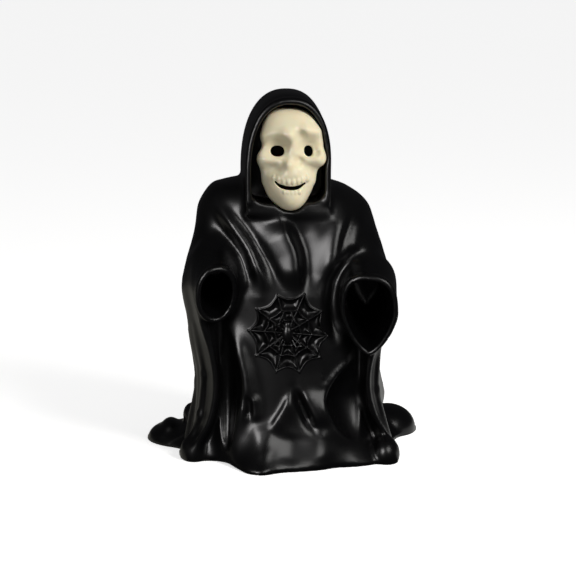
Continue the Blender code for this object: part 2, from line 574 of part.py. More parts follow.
def part_pinches(grid, step):
    """Turn the weakest corner of each grid square whose signs alternate, so no edge is shared by four."""
    for _ in range(12):
        changed = 0
        for axis in range(3):
            square = np.moveaxis(grid, axis, 0)
            a, b = square[:, :-1, :-1], square[:, 1:, :-1]
            c, d = square[:, 1:, 1:], square[:, :-1, 1:]
            pinched = ((a < 0) == (c < 0)) & ((b < 0) == (d < 0)) & ((a < 0) != (b < 0))
            places = np.argwhere(pinched)
            for n, i, j in places:
                corners = [(n, i, j), (n, i + 1, j), (n, i + 1, j + 1), (n, i, j + 1)]
                weakest = min(corners, key=lambda corner: abs(square[corner]))
                square[weakest] = -math.copysign(0.02 * step, square[weakest])
            changed += len(places)
        if changed == 0:
            break


def clay_mesh(field, low, high, step):
    """Vertices and quads of a field's zero surface: one vertex for each cell that it crosses."""
    axes = [np.arange(a, b + step, step) for a, b in zip(low, high)]
    grid = field(axes[0][:, None, None], axes[1][None, :, None], axes[2][None, None, :])
    part_pinches(grid, step)
    inside = grid < 0.0
    shape = np.array(grid.shape) - 1
    count = np.zeros(shape, int)
    corners = [(i, j, k) for i in (0, 1) for j in (0, 1) for k in (0, 1)]
    for i, j, k in corners:
        count += inside[i:i + shape[0], j:j + shape[1], k:k + shape[2]]
    cells = np.argwhere((count > 0) & (count < 8))
    values = {c: grid[cells[:, 0] + c[0], cells[:, 1] + c[1], cells[:, 2] + c[2]] for c in corners}
    total = np.zeros((len(cells), 3))
    crossings = np.zeros(len(cells))
    for a in corners:
        for axis in range(3):
            if a[axis] == 1:
                continue
            b = tuple(1 if n == axis else a[n] for n in range(3))
            crossed = (values[a] < 0.0) != (values[b] < 0.0)
            t = np.where(crossed, values[a] / np.where(crossed, values[a] - values[b], 1.0), 0.0)
            for n in range(3):
                total[:, n] += crossed * (t if n == axis else a[n])
            crossings += crossed
    points = np.array(low, float) + step * (cells + total / crossings[:, None])

    number = np.full(shape, -1)
    number[tuple(cells.T)] = np.arange(len(cells))
    quads = []
    for axis in range(3):
        second, third = (axis + 1) % 3, (axis + 2) % 3
        ahead = np.roll(inside, -1, axis)
        edges = np.argwhere(inside != ahead)
        keep = ((edges[:, axis] < shape[axis]) & (edges[:, second] > 0) & (edges[:, third] > 0)
                & (edges[:, second] < shape[second]) & (edges[:, third] < shape[third]))
        edges = edges[keep]
        ring = []
        for back_second, back_third in ((1, 1), (0, 1), (0, 0), (1, 0)):
            cell = edges.copy()
            cell[:, second] -= back_second
            cell[:, third] -= back_third
            ring.append(number[tuple(cell.T)])
        ring = np.stack(ring, 1)
        outward = inside[tuple(edges.T)]
        quads.append(np.where(outward[:, None], ring, ring[:, ::-1]))
    return points, np.vstack(quads)


def settle(points, field, step, rounds=2):
    """Move the points onto the field's zero surface along its slope."""
    probe = 0.25 * step
    for _ in range(rounds):
        value = field(*points.T)
        slope = np.zeros_like(points)
        for axis in range(3):
            shift = np.zeros(3)
            shift[axis] = probe
            slope[:, axis] = (field(*(points + shift).T) - field(*(points - shift).T)) / (2.0 * probe)
        move = value[:, None] * slope / np.maximum((slope**2).sum(1), 0.05)[:, None]
        length = np.maximum(np.linalg.norm(move, axis=1), 1e-9)
        points = points - move * np.minimum(1.0, 0.6 * step / length)[:, None]
    return points


def material(name, colour, roughness):
    """A plain moulded plastic."""
    mat = bpy.data.materials.new(name)
    mat.use_nodes = True
    shader = mat.node_tree.nodes["Principled BSDF"]
    shader.inputs["Base Color"].default_value = (*colour, 1.0)
    shader.inputs["Roughness"].default_value = roughness
    shader.inputs["Metallic"].default_value = 0.0
    return mat


def add_object(name, mesh, mat):
    piece = bpy.data.objects.new(name, mesh)
    bpy.context.scene.collection.objects.link(piece)
    mesh.materials.append(mat)
    return piece


def clay_object(name, field, corners, step, faces, mat):
    """An object of a field's surface, with its faces thinned to a given number."""
    points, quads = clay_mesh(field, *corners, step)
    points = settle(points, field, step) * PART
    mesh = bpy.data.meshes.new(name)
    mesh.from_pydata(points.tolist(), [], quads.tolist())
    piece = add_object(name, mesh, mat)
    thin = piece.modifiers.new("thin", "DECIMATE")
    thin.ratio = faces / (2.0 * len(quads))
    thinned = bpy.data.meshes.new_from_object(piece.evaluated_get(bpy.context.evaluated_depsgraph_get()))
    piece.modifiers.clear()
    piece.data = thinned
    bpy.data.meshes.remove(mesh)
    return piece


def cut_flat(piece, height):
    """Cut a piece flat at a height, closed with one face, and keep what is above."""
    mesh = bmesh.new()
    mesh.from_mesh(piece.data)
    geometry = mesh.verts[:] + mesh.edges[:] + mesh.faces[:]
    cut = bmesh.ops.bisect_plane(mesh, geom=geometry, dist=1e-6, plane_co=(0, 0, height),
                                 plane_no=(0, 0, 1), clear_inner=True)
    edges = [item for item in cut["geom_cut"] if isinstance(item, bmesh.types.BMEdge)]
    bmesh.ops.holes_fill(mesh, edges=edges)
    bmesh.ops.recalc_face_normals(mesh, faces=mesh.faces)
    mesh.to_mesh(piece.data)
    mesh.free()


def flatten(piece, plane, low, high):
    """Set the vertices between two corners (x, z) that lie near a plane of constant y exactly on it."""
    for vertex in piece.data.vertices:
        place = vertex.co / PART
        inside = low[0] < place.x < high[0] and low[1] < place.z < high[1]
        if inside and abs(place.y - plane / PART) < FLATTEN_REACH:
            vertex.co.y = plane


def web_point(radius, angle):
    """A point of the web in (x, z) parts, from its middle."""
    return (WEB_MIDDLE[0] + radius * math.cos(angle), WEB_MIDDLE[1] + radius * math.sin(angle))


def web_cell(mesh, spoke, ring):
    """One recess of the web, between two spokes and two rings, added to a cutter's mesh."""
    thread = WEB_THREAD / PART
    ends = [WEB_SPOKES[spoke], WEB_SPOKES[(spoke + 1) % len(WEB_SPOKES)]]
    outline = []
    for level, side, order in ((ring, 0.5, (0.0, 0.5, 1.0)), (ring + 1, -0.5, (1.0, 0.5, 0.0))):
        for share in order:
            reach = WEB_RADIUS / PART * (ends[0][1] + share * (ends[1][1] - ends[0][1]))
            sag = 1.0 - WEB_SAG[level] * (1.0 - abs(2.0 * share - 1.0))
            radius = WEB_RINGS[level] * reach * sag + side * thread
            inset = math.degrees(math.asin(min(0.9, 0.5 * thread / radius)))
            step = (ends[1][0] - ends[0][0]) % 360.0
            angle = ends[0][0] + inset + share * (step - 2.0 * inset)
            outline.append(web_point(radius, math.radians(angle)))
    layers = []
    for offset in (-8.0, WEB_DEPTH / PART):
        layer = []
        for x, z in outline:
            y = offset - float(front_depth(np.array(x), np.array(z)))
            layer.append(mesh.verts.new((x * PART, y * PART, z * PART)))
        layers.append(layer)
    front, back = layers
    mesh.faces.new(front)
    mesh.faces.new(back[::-1])
    for n in range(len(outline)):
        m = (n + 1) % len(outline)
        mesh.faces.new((front[m], front[n], back[n], back[m]))


def make_web_cutter():
    """The web's recesses, as one cutter of separate prisms."""
    mesh = bmesh.new()
    for spoke in range(len(WEB_SPOKES)):
        for ring in range(len(WEB_RINGS) - 1):
            web_cell(mesh, spoke, ring)
    bmesh.ops.recalc_face_normals(mesh, faces=mesh.faces)
    data = bpy.data.meshes.new("web_cutter")
    mesh.to_mesh(data)
    mesh.free()
    cutter = bpy.data.objects.new("web_cutter", data)
    bpy.context.scene.collection.objects.link(cutter)
    cutter.hide_render = True
    cutter.display_type = "WIRE"
    return cutter


def make_spider_body():
    """The spider's smooth body, which stands out of the middle of the web."""
    mesh = bmesh.new()
    bmesh.ops.create_uvsphere(mesh, u_segments=14, v_segments=9, radius=1.0)
    depth = float(front_depth(np.array(WEB_MIDDLE[0]), np.array(WEB_MIDDLE[1]))) * PART
    for vertex in mesh.verts:
        narrow = 1.0 - 0.22 * vertex.co.z
        vertex.co.x = WEB_MIDDLE[0] * PART + vertex.co.x * narrow * 0.5 * SPIDER_WIDTH
        vertex.co.y = -depth + WEB_DEPTH * 0.45 + vertex.co.y * 0.55 * SPIDER_WIDTH
        vertex.co.z = WEB_MIDDLE[1] * PART + vertex.co.z * 0.5 * SPIDER_LENGTH
    data = bpy.data.meshes.new("spider_body")
    mesh.to_mesh(data)
    mesh.free()
    body = bpy.data.objects.new("spider_body", data)
    bpy.context.scene.collection.objects.link(body)
    body.hide_render = True
    body.display_type = "WIRE"
    return body


def add_boolean(piece, other, operation):
    change = piece.modifiers.new(other.name, "BOOLEAN")
    change.operation = operation
    change.solver = "EXACT"
    change.object = other


def make_robe(mat):
    """The black figure, flat underneath, with the web cut into its chest."""
    robe = clay_object("robe", robe_clay, ROBE_CORNERS, ROBE_STEP, ROBE_FACES, mat)
    cut_flat(robe, 0.0)
    flatten(robe, SEAT_PLANE * PART, *SEAT_CORNERS)
    add_boolean(robe, make_web_cutter(), "DIFFERENCE")
    add_boolean(robe, make_spider_body(), "UNION")
    return robe


def make_skull(mat):
    """The cream mask, with its cut edge in the hood's seat."""
    skull = clay_object("skull", skull_mask, SKULL_CORNERS, SKULL_STEP, SKULL_FACES, mat)
    low, high = SKULL_CORNERS
    flatten(skull, SEAT_PLANE * PART - SEAT_GAP, (low[0], low[2]), (high[0], high[2]))
    return skull


def main():
    for old in list(bpy.data.objects):
        bpy.data.objects.remove(old, do_unlink=True)
    black = material("gloss_black_plastic", (0.010, 0.010, 0.012), 0.26)
    cream = material("cream_plastic", (0.70, 0.66, 0.48), 0.42)
    make_robe(black)
    make_skull(cream)


main()
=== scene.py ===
"""Looks of the grim reaper figurine: the gloss black robe and the cream skull mask in its hood.

The visible surfaces are sampled finely from fields that are negative inside and positive
outside, and replace the plain solids of the frame. The figure faces -Y and stands on z = 0.
"""

import math

import bmesh
import bpy
import numpy as np
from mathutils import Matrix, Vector


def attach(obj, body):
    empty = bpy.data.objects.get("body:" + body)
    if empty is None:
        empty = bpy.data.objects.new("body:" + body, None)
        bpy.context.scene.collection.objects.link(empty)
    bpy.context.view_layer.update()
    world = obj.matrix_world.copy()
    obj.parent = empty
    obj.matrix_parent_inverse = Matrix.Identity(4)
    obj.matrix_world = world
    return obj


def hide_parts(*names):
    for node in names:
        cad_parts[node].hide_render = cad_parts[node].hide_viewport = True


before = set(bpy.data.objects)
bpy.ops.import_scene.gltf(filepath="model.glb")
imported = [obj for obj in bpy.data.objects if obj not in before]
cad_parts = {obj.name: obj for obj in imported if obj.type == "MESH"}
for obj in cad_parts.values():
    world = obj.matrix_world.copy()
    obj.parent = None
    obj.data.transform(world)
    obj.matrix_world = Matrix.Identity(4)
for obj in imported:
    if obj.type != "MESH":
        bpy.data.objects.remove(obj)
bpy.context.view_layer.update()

# Driving sizes, metres
FIGURE_HEIGHT = 0.280
HOOD_WALL = 0.0034
HOOD_TOP_WALL = 0.0042
CUFF_WALL = 0.0034
LEFT_CUFF_DEPTH = 0.056
RIGHT_CUFF_DEPTH = 0.060
SKULL_WALL = 0.0022
SKULL_CLEARANCE = 0.0009
SEAT_GAP = 0.0003
WEB_RADIUS = 0.0299
WEB_DEPTH = 0.0036
SPIDER_LENGTH = 0.0175
SPIDER_WIDTH = 0.0086
HEM_LIP = 0.0042

# Free forms are given in parts, of which the figure's height has this many
HEIGHT_IN_PARTS = 278.0
PART = FIGURE_HEIGHT / HEIGHT_IN_PARTS

# Corners of the space around each clay, in parts
ROBE_CORNERS = ((-118, -84, -6), (112, 96, 282))
SKULL_CORNERS = ((-27, -54, 188), (32, -4, 269))

# Body: half widths and depths by height, in parts
BODY_LEFT = [(0, 64), (30, 62), (60, 60), (100, 59), (134, 62), (165, 66), (190, 66), (215, 62)]
BODY_RIGHT = [(0, 64), (30, 62), (60, 60), (100, 60), (134, 63), (165, 63), (185, 59), (215, 50)]
BODY_FRONT = [(0, 64), (12, 60), (30, 56), (60, 52), (105, 49), (130, 47.5), (150, 45), (170, 41),
              (190, 36.5), (215, 31)]
BODY_BACK = [(0, 70), (12, 66), (30, 60), (60, 54), (100, 48), (140, 44), (175, 42), (215, 38)]
BODY_POWER = 2.6
SHOULDER_TOP = [(-80, 184), (-66, 199), (-60, 206), (-50, 209.6), (-36, 212.6), (0, 215), (31, 210),
                (45, 204.6), (54, 197.4), (62, 187), (80, 164)]
SHOULDER_ROLL = 12.0
ROLL_FRONT = 18.0
ROLL_BACK = 14.0
ROLL_REACH = 42.0

# Hem: the outline on the floor, seen from above, with a train to each side
HEM_OUTLINE = [(86, 17), (95, 36), (104, 48), (105, 62), (92, 76), (62, 84), (30, 87), (0, 88),
               (-32, 88), (-62, 86), (-88, 74), (-104, 50), (-113, 27), (-101, 4), (-87, -6),
               (-86, -20), (-81, -33), (-71, -39), (-58, -40), (-48, -46), (-39, -61), (-29, -75),
               (-19, -78), (-8, -73), (9, -69), (24, -65), (39, -58), (54, -55), (67, -49),
               (76, -40), (82, -27), (84, -8)]
HEM_FLARE = 13.0
FLARE_POWER = 1.3
LIP_UNDERCUT = 0.96
TRAINS = [(math.radians(160), math.radians(26), 3.0), (math.radians(30), math.radians(20), 4.0)]

# How far in front of the middle the carving begins and is full
CARVED_FROM = (8.0, 30.0)

# Carving of the front: path in (x, z) from its top, half widths to its left and right, and height
FRONT_FOLDS = [
    ([(-59, 190), (-43, 168), (-33.7, 153.7), (-30, 135)], 6.0, 4.4, -2.6),
    ([(-56, 198), (-50, 190), (-36.7, 175.9), (-29, 165.8), (-23, 150.2), (-19.5, 141), (-21.4, 129)],
     5.4, 5.0, 4.2),
    ([(-42.8, 193), (-26.8, 172), (-12.2, 150), (-2, 129)], 6.0, 4.4, -2.8),
    ([(-45, 164), (-38.5, 154), (-35, 142.7), (-37, 129)], 5.2, 4.4, 3.4),
    ([(-10, 190), (-5, 182), (1.5, 169), (6.6, 160), (7.6, 147), (6.6, 131)], 17.0, 4.6, 6.2),
    ([(3, 190), (9, 174), (12.4, 160), (13.4, 142), (13, 126)], 4.6, 11.0, -4.0),
    ([(47, 194), (40, 181), (35.4, 165), (32.8, 148), (32, 136)], 8.0, 4.2, 4.2),
    ([(57, 195), (50, 181), (44.2, 167), (38.4, 151), (37, 138)], 3.8, 4.4, 3.0),
    ([(61, 190), (54, 176), (50, 165), (48, 156)], 4.4, 10.0, 4.0),
    ([(52, 158), (41, 152), (34, 140), (31.5, 122), (33, 104), (39, 88)], 5.0, 6.0, -6.0),
    ([(-46, 112), (-41, 97), (-36.5, 82), (-32.5, 68), (-32, 54), (-37, 36), (-42, 18)], 3.6, 8.0, 5.6),
    ([(-31, 56), (-29, 46), (-30, 36)], 2.4, 2.4, -2.6),
    ([(-26, 57), (-24, 46), (-25.6, 34)], 2.2, 4.6, 1.8),
    ([(3.2, 58), (-1, 48), (-7, 38), (-14, 28)], 2.6, 8.0, 2.6),
    ([(4.6, 60), (8, 50), (13, 39), (19, 27)], 3.0, 3.6, -5.0),
    ([(10.6, 60), (14.6, 50), (19.6, 40), (24, 29)], 2.6, 8.0, 2.4),
    ([(51, 79), (43, 75.5), (33.5, 65.5), (28.6, 57)], 3.0, 2.4, 1.8),
    ([(27, 60), (28, 50), (33, 40), (42, 28), (55, 17)], 10.0, 3.2, 4.6),
    ([(-24, 36), (-20, 20), (-15, 6)], 7.0, 11.0, 2.0),
    ([(24, 32), (25, 18), (26, 4)], 9.0, 8.0, 1.8),
    ([(5, 28), (3, 16), (1, 4)], 9.0, 9.0, -1.4),
]
# Deep hollows of the skirt: centre, reach to each side, and how round they are
SKIRT_HOLLOWS = [((51, -54, 50), (22.5, 24, 32, 24), 1.45), ((-46.5, -53, 62), (8.5, 19, 50, 19), 2.0)]
HOLLOW_BLEND = 3.0

# Lobes of the hem that puff up from the floor: centre and radii
HEM_LOBES = [((80, 49, 3), (22.5, 22, 18.5)), ((-88, 26, 2), (22.5, 24, 11.5)), ((-93, 22, 11), (6, 12, 6.2)),
             ((-76, 18, 21), (6.5, 9, 9.5)), ((74, -38, 6), (10.5, 12, 13)), ((-72, -30, 6), (10, 11, 11))]
LOBE_BLEND = 5.0

# Folds of the back: middle angle, drift with height, half width in radians, height
BACK_FOLDS = [(math.radians(35), 0.0005, 0.13, 4.0), (math.radians(58), 0.0003, 0.12, 3.2),
              (math.radians(80), -0.0002, 0.14, 4.2), (math.radians(104), 0.0002, 0.12, 3.4),
              (math.radians(126), -0.0004, 0.13, 4.0), (math.radians(147), -0.0006, 0.12, 3.2)]
BACK_FOLD_TOP = 178.0
BACK_FOLD_FADE = 110.0

# Drapes that hang from the sleeves to the floor: plan circles (x, y, radius) at heights
LEFT_DRAPE = [
    (0, [(-71, -36, 5), (-66, -16, 13), (-50, 6, 26)]),
    (14, [(-68, -39, 3.2), (-64, -17, 10), (-51, 6, 26)]),
    (28, [(-60.5, -43, 2.6), (-62, -18, 9), (-51, 6, 25.6)]),
    (48, [(-55, -45, 2.4), (-60, -20, 8.5), (-50, 6, 24)]),
    (68, [(-54, -46, 2.4), (-60, -21, 8.5), (-50, 6, 23.6)]),
    (88, [(-57, -47, 2.6), (-61.5, -22, 11), (-51.5, 5, 25)]),
    (108, [(-62, -48, 3.4), (-62, -23, 13), (-52.5, 4, 25)]),
    (132, [(-64, -46, 5.5), (-62, -21, 17), (-55, 2, 23.5)]),
    (172, [(-56, -24, 6), (-54, -12, 12), (-50, 2, 17)]),
]
RIGHT_DRAPE = [
    (0, [(76, -30, 6), (66, -12, 14), (49, 8, 25)]),
    (20, [(72.5, -34, 3), (64, -12, 11), (50, 8, 27)]),
    (36, [(65, -38, 2.4), (61, -13, 10), (50.5, 8, 28.5)]),
    (56, [(60, -41, 2.2), (59, -14, 9.5), (48.5, 6, 27)]),
    (80, [(61.5, -43, 2.4), (58.5, -15, 10.5), (47, 6, 23.5)]),
    (96, [(66, -42, 4), (59, -18, 14), (48, 5, 23)]),
    (126, [(65, -40, 8), (59, -18, 18.5), (51, 2, 23)]),
    (168, [(52, -20, 6), (52, -12, 12), (46, 2, 16)]),
]
DRAPE_BLEND = 5.0
# Flutes that run down the outer faces of the drapes: ends and radii
FLUTES = [((-67, -34, 104), 2.2, (-62.5, -33, 66), 2.2), ((-62.5, -33, 66), 2.2, (-66, -31, 34), 2.6),
          ((-66, -31, 34), 2.6, (-76, -28, 6), 3.2), ((-72, -18, 98), 2.6, (-68, -12, 56), 2.6),
          ((-68, -12, 56), 2.6, (-77, -8, 10), 3.4), ((68, -28, 92), 2.4, (66.5, -27, 52), 2.2),
          ((66.5, -27, 52), 2.2, (76, -24, 14), 3.0)]
FLUTE_BLEND = 5.0

# Sleeves: middle of the mouth, direction of the sleeve, direction that the mouth faces
LEFT_MOUTH = (-52.6, -58, 132)
LEFT_SLEEVE_AXIS = (0.06, -0.93, -0.36)
LEFT_MOUTH_FACES = (0.30, -0.93, -0.18)
LEFT_MOUTH_HALF = (14.4, 20.6, 21.0)
LEFT_MOUTH_POWERS = (2.2, 2.0)
LEFT_SLEEVE_GROWTH = (0.17, 0.08)
RIGHT_MOUTH = (59.5, -55, 118)
RIGHT_SLEEVE_AXIS = (-0.02, -0.93, -0.36)
RIGHT_MOUTH_FACES = (-0.14, -0.97, -0.12)
RIGHT_MOUTH_HALF = (20.6, 27.0, 32.0)
RIGHT_MOUTH_POWERS = (2.6, 1.45)
RIGHT_SLEEVE_GROWTH = (0.02, 0.05)
CUFF_ROUND = 12.0
CUFF_BEAD = 0.75
MOUTH_EDGE = 1.5
# Behind this stretch from the mouth, a cavity keeps the full wall whatever the form around it
MOUTH_STRETCH = (-14.0, -6.0)
SLEEVE_REACH = 40.0
UPPER_ARMS = [((-49, 0, 184), 18.0, (-54, -16, 152), 18.5), ((46, 0, 182), 17.0, (55, -18, 144), 18.5)]
ARM_BLEND = 10.0
SLEEVE_BLEND = 7.0

# Hood: turned a little to the viewer's right about a pivot
HOOD_TURN = math.radians(6)
HOOD_PIVOT = (-3.2, -5.0)
HOOD_SPRING = 222.0
HOOD_HALF_WIDTH = [(-34, 30.7), (-24, 31.4), (-8, 32.2), (60, 32.4)]
HOOD_RISE = [(-34, 51.0), (-24, 54.0), (-6, 56.0), (60, 54.0)]
HOOD_POWER = 2.34
HOOD_RIM = -33.5
HOOD_LEAN = 0.030
HOOD_FOOT = 187.0
HOOD_BACK = 37.0
CROWN_SHARE = 0.97
HOOD_BLEND = 5.0
RIM_EDGE = 3.0
RIM_BEAD = 0.72
CROWN_EDGE = 4.0
COLLAR_HEIGHT = 195.0
COLLAR_RISE = 3.0
COLLAR_HALF = 24.0
COLLAR_ROUND = 9.0
SEAT_PLANE = -9.0
SEAT_EDGE = 0.8
OPENING_EDGE = 1.2

# Skull mask: its middle, how its crown leans and narrows, and the blends of its forms
SKULL_MIDDLE = 2.5
SKULL_POWER = 2.4
SKULL_LEAN = 0.13
SKULL_LEAN_FROM = 241.0
TEMPLES = (-37.0, -30.0)
CRANIUM_TAPER = 1.6
JAW_TAPER = 1.2
JAW_BLEND = 5.0
BRIDGE_BLEND = 3.0
TOOTH_BLEND = 0.8
HOLE_EDGE = 0.5
CRANIUM = (0.8, -28.0, 241.0)
CRANIUM_HALF = (24.2, 16.5, 25.2, 40.0)
JAW = (-2.2, -26.0, 214.0)
JAW_HALF = (20.5, 20.5, 23.3, 40.0)
JAW_POINT = 0.075
JAW_POINT_FROM = 212.0
# Forms of the face, from its middle: centre, radii and blend
FACE_MOUNDS = [
    ((-0.2, -37.0, 202.5), (10.8, 11.0, 11.0), 4.0),
    ((-20.6, -36.0, 229.6), (4.8, 5.4, 5.2), 6.0),
    ((20.3, -36.0, 230.0), (4.8, 5.4, 5.2), 6.0),
    ((-12.6, -38.4, 228.6), (8.5, 5.2, 4.2), 6.0),
    ((13.8, -38.4, 228.8), (7.6, 5.0, 4.2), 6.0),
    ((-0.8, -41.2, 219.8), (12.2, 6.6, 6.2), 6.0),
    ((-1.7, -44.6, 226.6), (2.8, 4.0, 3.4), 4.5),
    ((-0.4, -41.2, 247.0), (5.6, 5.4, 3.8), 7.0),
]
FACE_RIDGES = [((-4.0, -42.2, 247.6), 2.6, (-18.5, -36.6, 246.0), 2.3, 6.0),
               ((10.5, -41.4, 250.4), 2.7, (18.2, -38.6, 249.4), 2.3, 6.0),
               ((-20.0, -33.5, 225.0), 3.2, (-18.0, -33.0, 213.5), 3.0, 4.0),
               ((15.8, -33.5, 225.0), 3.2, (14.2, -33.0, 214.0), 3.0, 4.0)]
FACE_HOLLOWS = [
    ((-11.0, -46.8, 238.8), (9.2, 9.2, 6.8), 6.0),
    ((12.8, -46.8, 238.8), (8.8, 9.4, 7.2), 5.5),
    ((6.8, -47.8, 246.2), (3.2, 6.8, 4.8), 5.0),
    ((17.4, -45.6, 235.6), (4.2, 7.6, 4.0), 1.5),
    ((6.4, -49.0, 228.6), (3.4, 8.4, 4.2), 3.5),
    ((-15.0, -50.0, 222.6), (7.5, 8.2, 4.2), 6.0),
    ((14.5, -50.0, 222.4), (6.5, 8.4, 4.4), 6.0),
]
NOSE_BRIDGE = ((1.2, -39.6, 243.0), 1.7, (-0.4, -41.2, 231.0), 1.9)
# Eyes: place in x and z, half width and height, and how far the hole leans inward
EYE_DEPTH = -42.0
HOLE_END = -22.0
EYES = [(-10.3, 235.4, 5.0, 3.8, 0.0), (13.4, 235.4, 3.3, 3.8, 0.25)]
SMILE = [(-11.7, 213.4), (-8.8, 210.6), (-4.0, 209.2), (1.5, 208.8), (6.2, 209.9), (9.6, 212.2)]
SMILE_HALF_HEIGHT = 1.45
TEETH_FRONT = -46.5
TEETH_CURVE = 0.030
TEETH_RISE = 0.012
# Rows of teeth: how many, pitch, middle, height and the radii of one
TOOTH_ROWS = [(8, 3.4, -0.4, 214.3, (2.0, 1.9, 3.0)), (5, 2.6, 0.4, 205.8, (1.5, 1.5, 1.9))]

# Web: middle on the chest and how it is divided
WEB_MIDDLE = (-0.4, 102.0)
WEB_SPOKES = [(-5.9, 1.02), (31.0, 0.99), (66.2, 1.03), (104.8, 0.95), (143.0, 0.93), (177.9, 0.95),
              (217.2, 0.96), (254.0, 1.01), (287.0, 1.03), (322.2, 1.03)]
WEB_RINGS = [0.12, 0.34, 0.61, 1.0]
WEB_SAG = [0.0, 0.06, 0.10, 0.16]

# Spacing of the visible surfaces' vertices, in parts
ROBE_SPACING = 1.75
SKULL_SPACING = 0.5
SPIDER_SPACING = 0.32
SPIDER_CORNERS = ((-17, -56, 80), (17, -42, 122))
WEB_CUTS = 3

# Threads of the web, in parts, and the cells between them
THREAD_HALF = 0.75
THREAD_RISE = 0.9
CELL_DEPTH = 1.3 * WEB_DEPTH / PART
CELL_SLOPE = 1.8
SPOKE_END = 1.6
# The web is pressed into what faces forward on the chest, out to a share of its radius, in metres
WEB_HALF = 1.12 * WEB_RADIUS
CHEST_FROM = -0.03
CHEST_FACING = -0.3

# Spider: how far back its body and feet lie from the chest's plain front, in parts
SPIDER_DEPTH = 1.2
FOOT_DEPTH = 1.6
KNEE_LIFT = 1.6
HEAD_BLEND = 1.5
HIP_BLEND = 0.5
KNEE_BLEND = 0.3
# Legs of the spider: knee and foot from the middle of its body, for each side
HIP_OUT = 1.6
LEG_RADIUS = 0.62
LEGS = [((5.6, 9.0), (2.6, 15.2)), ((8.8, 5.6), (6.2, 0.6)), ((9.6, -8.4), (13.4, -12.4)),
        ((6.4, -10.6), (9.0, -17.6))]

# Plastics: two colours that a broad noise mixes, its scale and that of a fine grain, and roughness
BLACK_COLOURS = ((0.0011, 0.0011, 0.0013), (0.0021, 0.0020, 0.0023))
BLACK_NOISE = (28.0, 900.0)
BLACK_ROUGHNESS = (0.27, 0.33)
BLACK_WAVE = (0.10, 0.0012)
BLACK_GRAIN = (0.04, 0.00008)
CREAM_COLOURS = ((0.78, 0.70, 0.49), (0.83, 0.76, 0.56))
CREAM_NOISE = (45.0, 1400.0)
CREAM_ROUGHNESS = (0.27, 0.33)
CREAM_GRAIN = (0.05, 0.00006)
CREAM_DEPTH = 0.0022

# Lights: place, aim, width and height in metres, brightness and colour
KEY_RIGHT = ((0.46, -0.85, 0.62), (0, 0, 0.14), (0.55, 0.50), 4.2, (1.0, 0.99, 0.97))
KEY_LEFT = ((-0.52, -0.85, 0.40), (0, 0, 0.14), (0.40, 0.44), 10.0, (1.0, 0.98, 0.98))
SIDE_KEY = ((0.76, -0.80, 0.84), (0, 0, 0.2), (0.4, 0.4), 25.0, (1.0, 0.98, 0.94))
# Mirrored cards: two opposite corners on the floor, colour and brightness
WHITE_CARD = ((0.06, -0.04), (0.9, 0.55), (1.0, 1.0, 0.97), 0.62)
DIM_CARD = ((-0.9, -0.04), (-0.06, 0.55), (1.0, 0.97, 0.86), 0.24)
CARD_HEIGHT = 0.0005
FLOOR_HALF = 60.0
FLOOR_GLOW = 0.62
WORLD_GLOW = 0.34
MIRRORED_WORLD_GLOW = 0.03

# Camera and image
IMAGE_SIZE = 576
PARTS_PER_PIXEL = 0.765
CAMERA_DISTANCE = 1300.0 * PART
CAMERA_RISE = math.radians(11)
SENSOR = 36.0
AIM_HEIGHT = 126.0 * PART


def smooth_min(a, b, blend):
    """Smaller of two fields, with the valley between them filled over the blend's width."""
    share = np.clip(0.5 + 0.5 * (b - a) / blend, 0.0, 1.0)
    return b + (a - b) * share - blend * share * (1.0 - share)


def smooth_max(a, b, blend):
    """Larger of two fields, with its edge rounded over the blend's width."""
    return -smooth_min(-a, -b, blend)


def smooth_step(value, low, high):
    """0 below low, 1 above high and a soft change between them."""
    share = np.clip((value - low) / (high - low), 0.0, 1.0)
    return share * share * (3.0 - 2.0 * share)


def curve(place, knots):
    """Smooth curve through (place, value) knots, level beyond its ends."""
    places = np.array([knot[0] for knot in knots], float)
    values = np.array([knot[1] for knot in knots], float)
    slopes = np.gradient(values, places)
    place = np.clip(place, places[0], places[-1])
    index = np.clip(np.searchsorted(places, place, side="right") - 1, 0, len(places) - 2)
    width = places[index + 1] - places[index]
    t = (place - places[index]) / width
    start, end = values[index], values[index + 1]
    leave, arrive = slopes[index] * width, slopes[index + 1] * width
    return ((2 * t**3 - 3 * t**2 + 1) * start + (t**3 - 2 * t**2 + t) * leave
            + (3 * t**2 - 2 * t**3) * end + (t**3 - t**2) * arrive)


def rounded_path(path, rounds=2):
    """The path with its corners cut, keeping both ends."""
    points = np.array(path, float)
    for _ in range(rounds):
        near = 0.75 * points[:-1] + 0.25 * points[1:]
        far = 0.25 * points[:-1] + 0.75 * points[1:]
        points = np.vstack([points[:1], np.stack([near, far], 1).reshape(-1, 2), points[-1:]])
    return points


def along_path(u, v, path):
    """Distance to a flat path, the share of its length at the nearest place, and the side, 1 or -1."""
    lengths = np.hypot(*(path[1:] - path[:-1]).T)
    total = lengths.sum()
    best = np.full(np.broadcast(u, v).shape, 1e9)
    place = np.zeros_like(best)
    side = np.ones_like(best)
    run = 0.0
    for start, end, length in zip(path[:-1], path[1:], lengths):
        du, dv = (end - start) / length
        t = np.clip((u - start[0]) * du + (v - start[1]) * dv, 0.0, length)
        distance = np.hypot(u - start[0] - t * du, v - start[1] - t * dv)
        nearer = distance < best
        best = np.where(nearer, distance, best)
        place = np.where(nearer, (run + t) / total, place)
        side = np.where(nearer, np.where(du * (v - start[1]) > dv * (u - start[0]), 1.0, -1.0), side)
        run += length
    return best, place, side


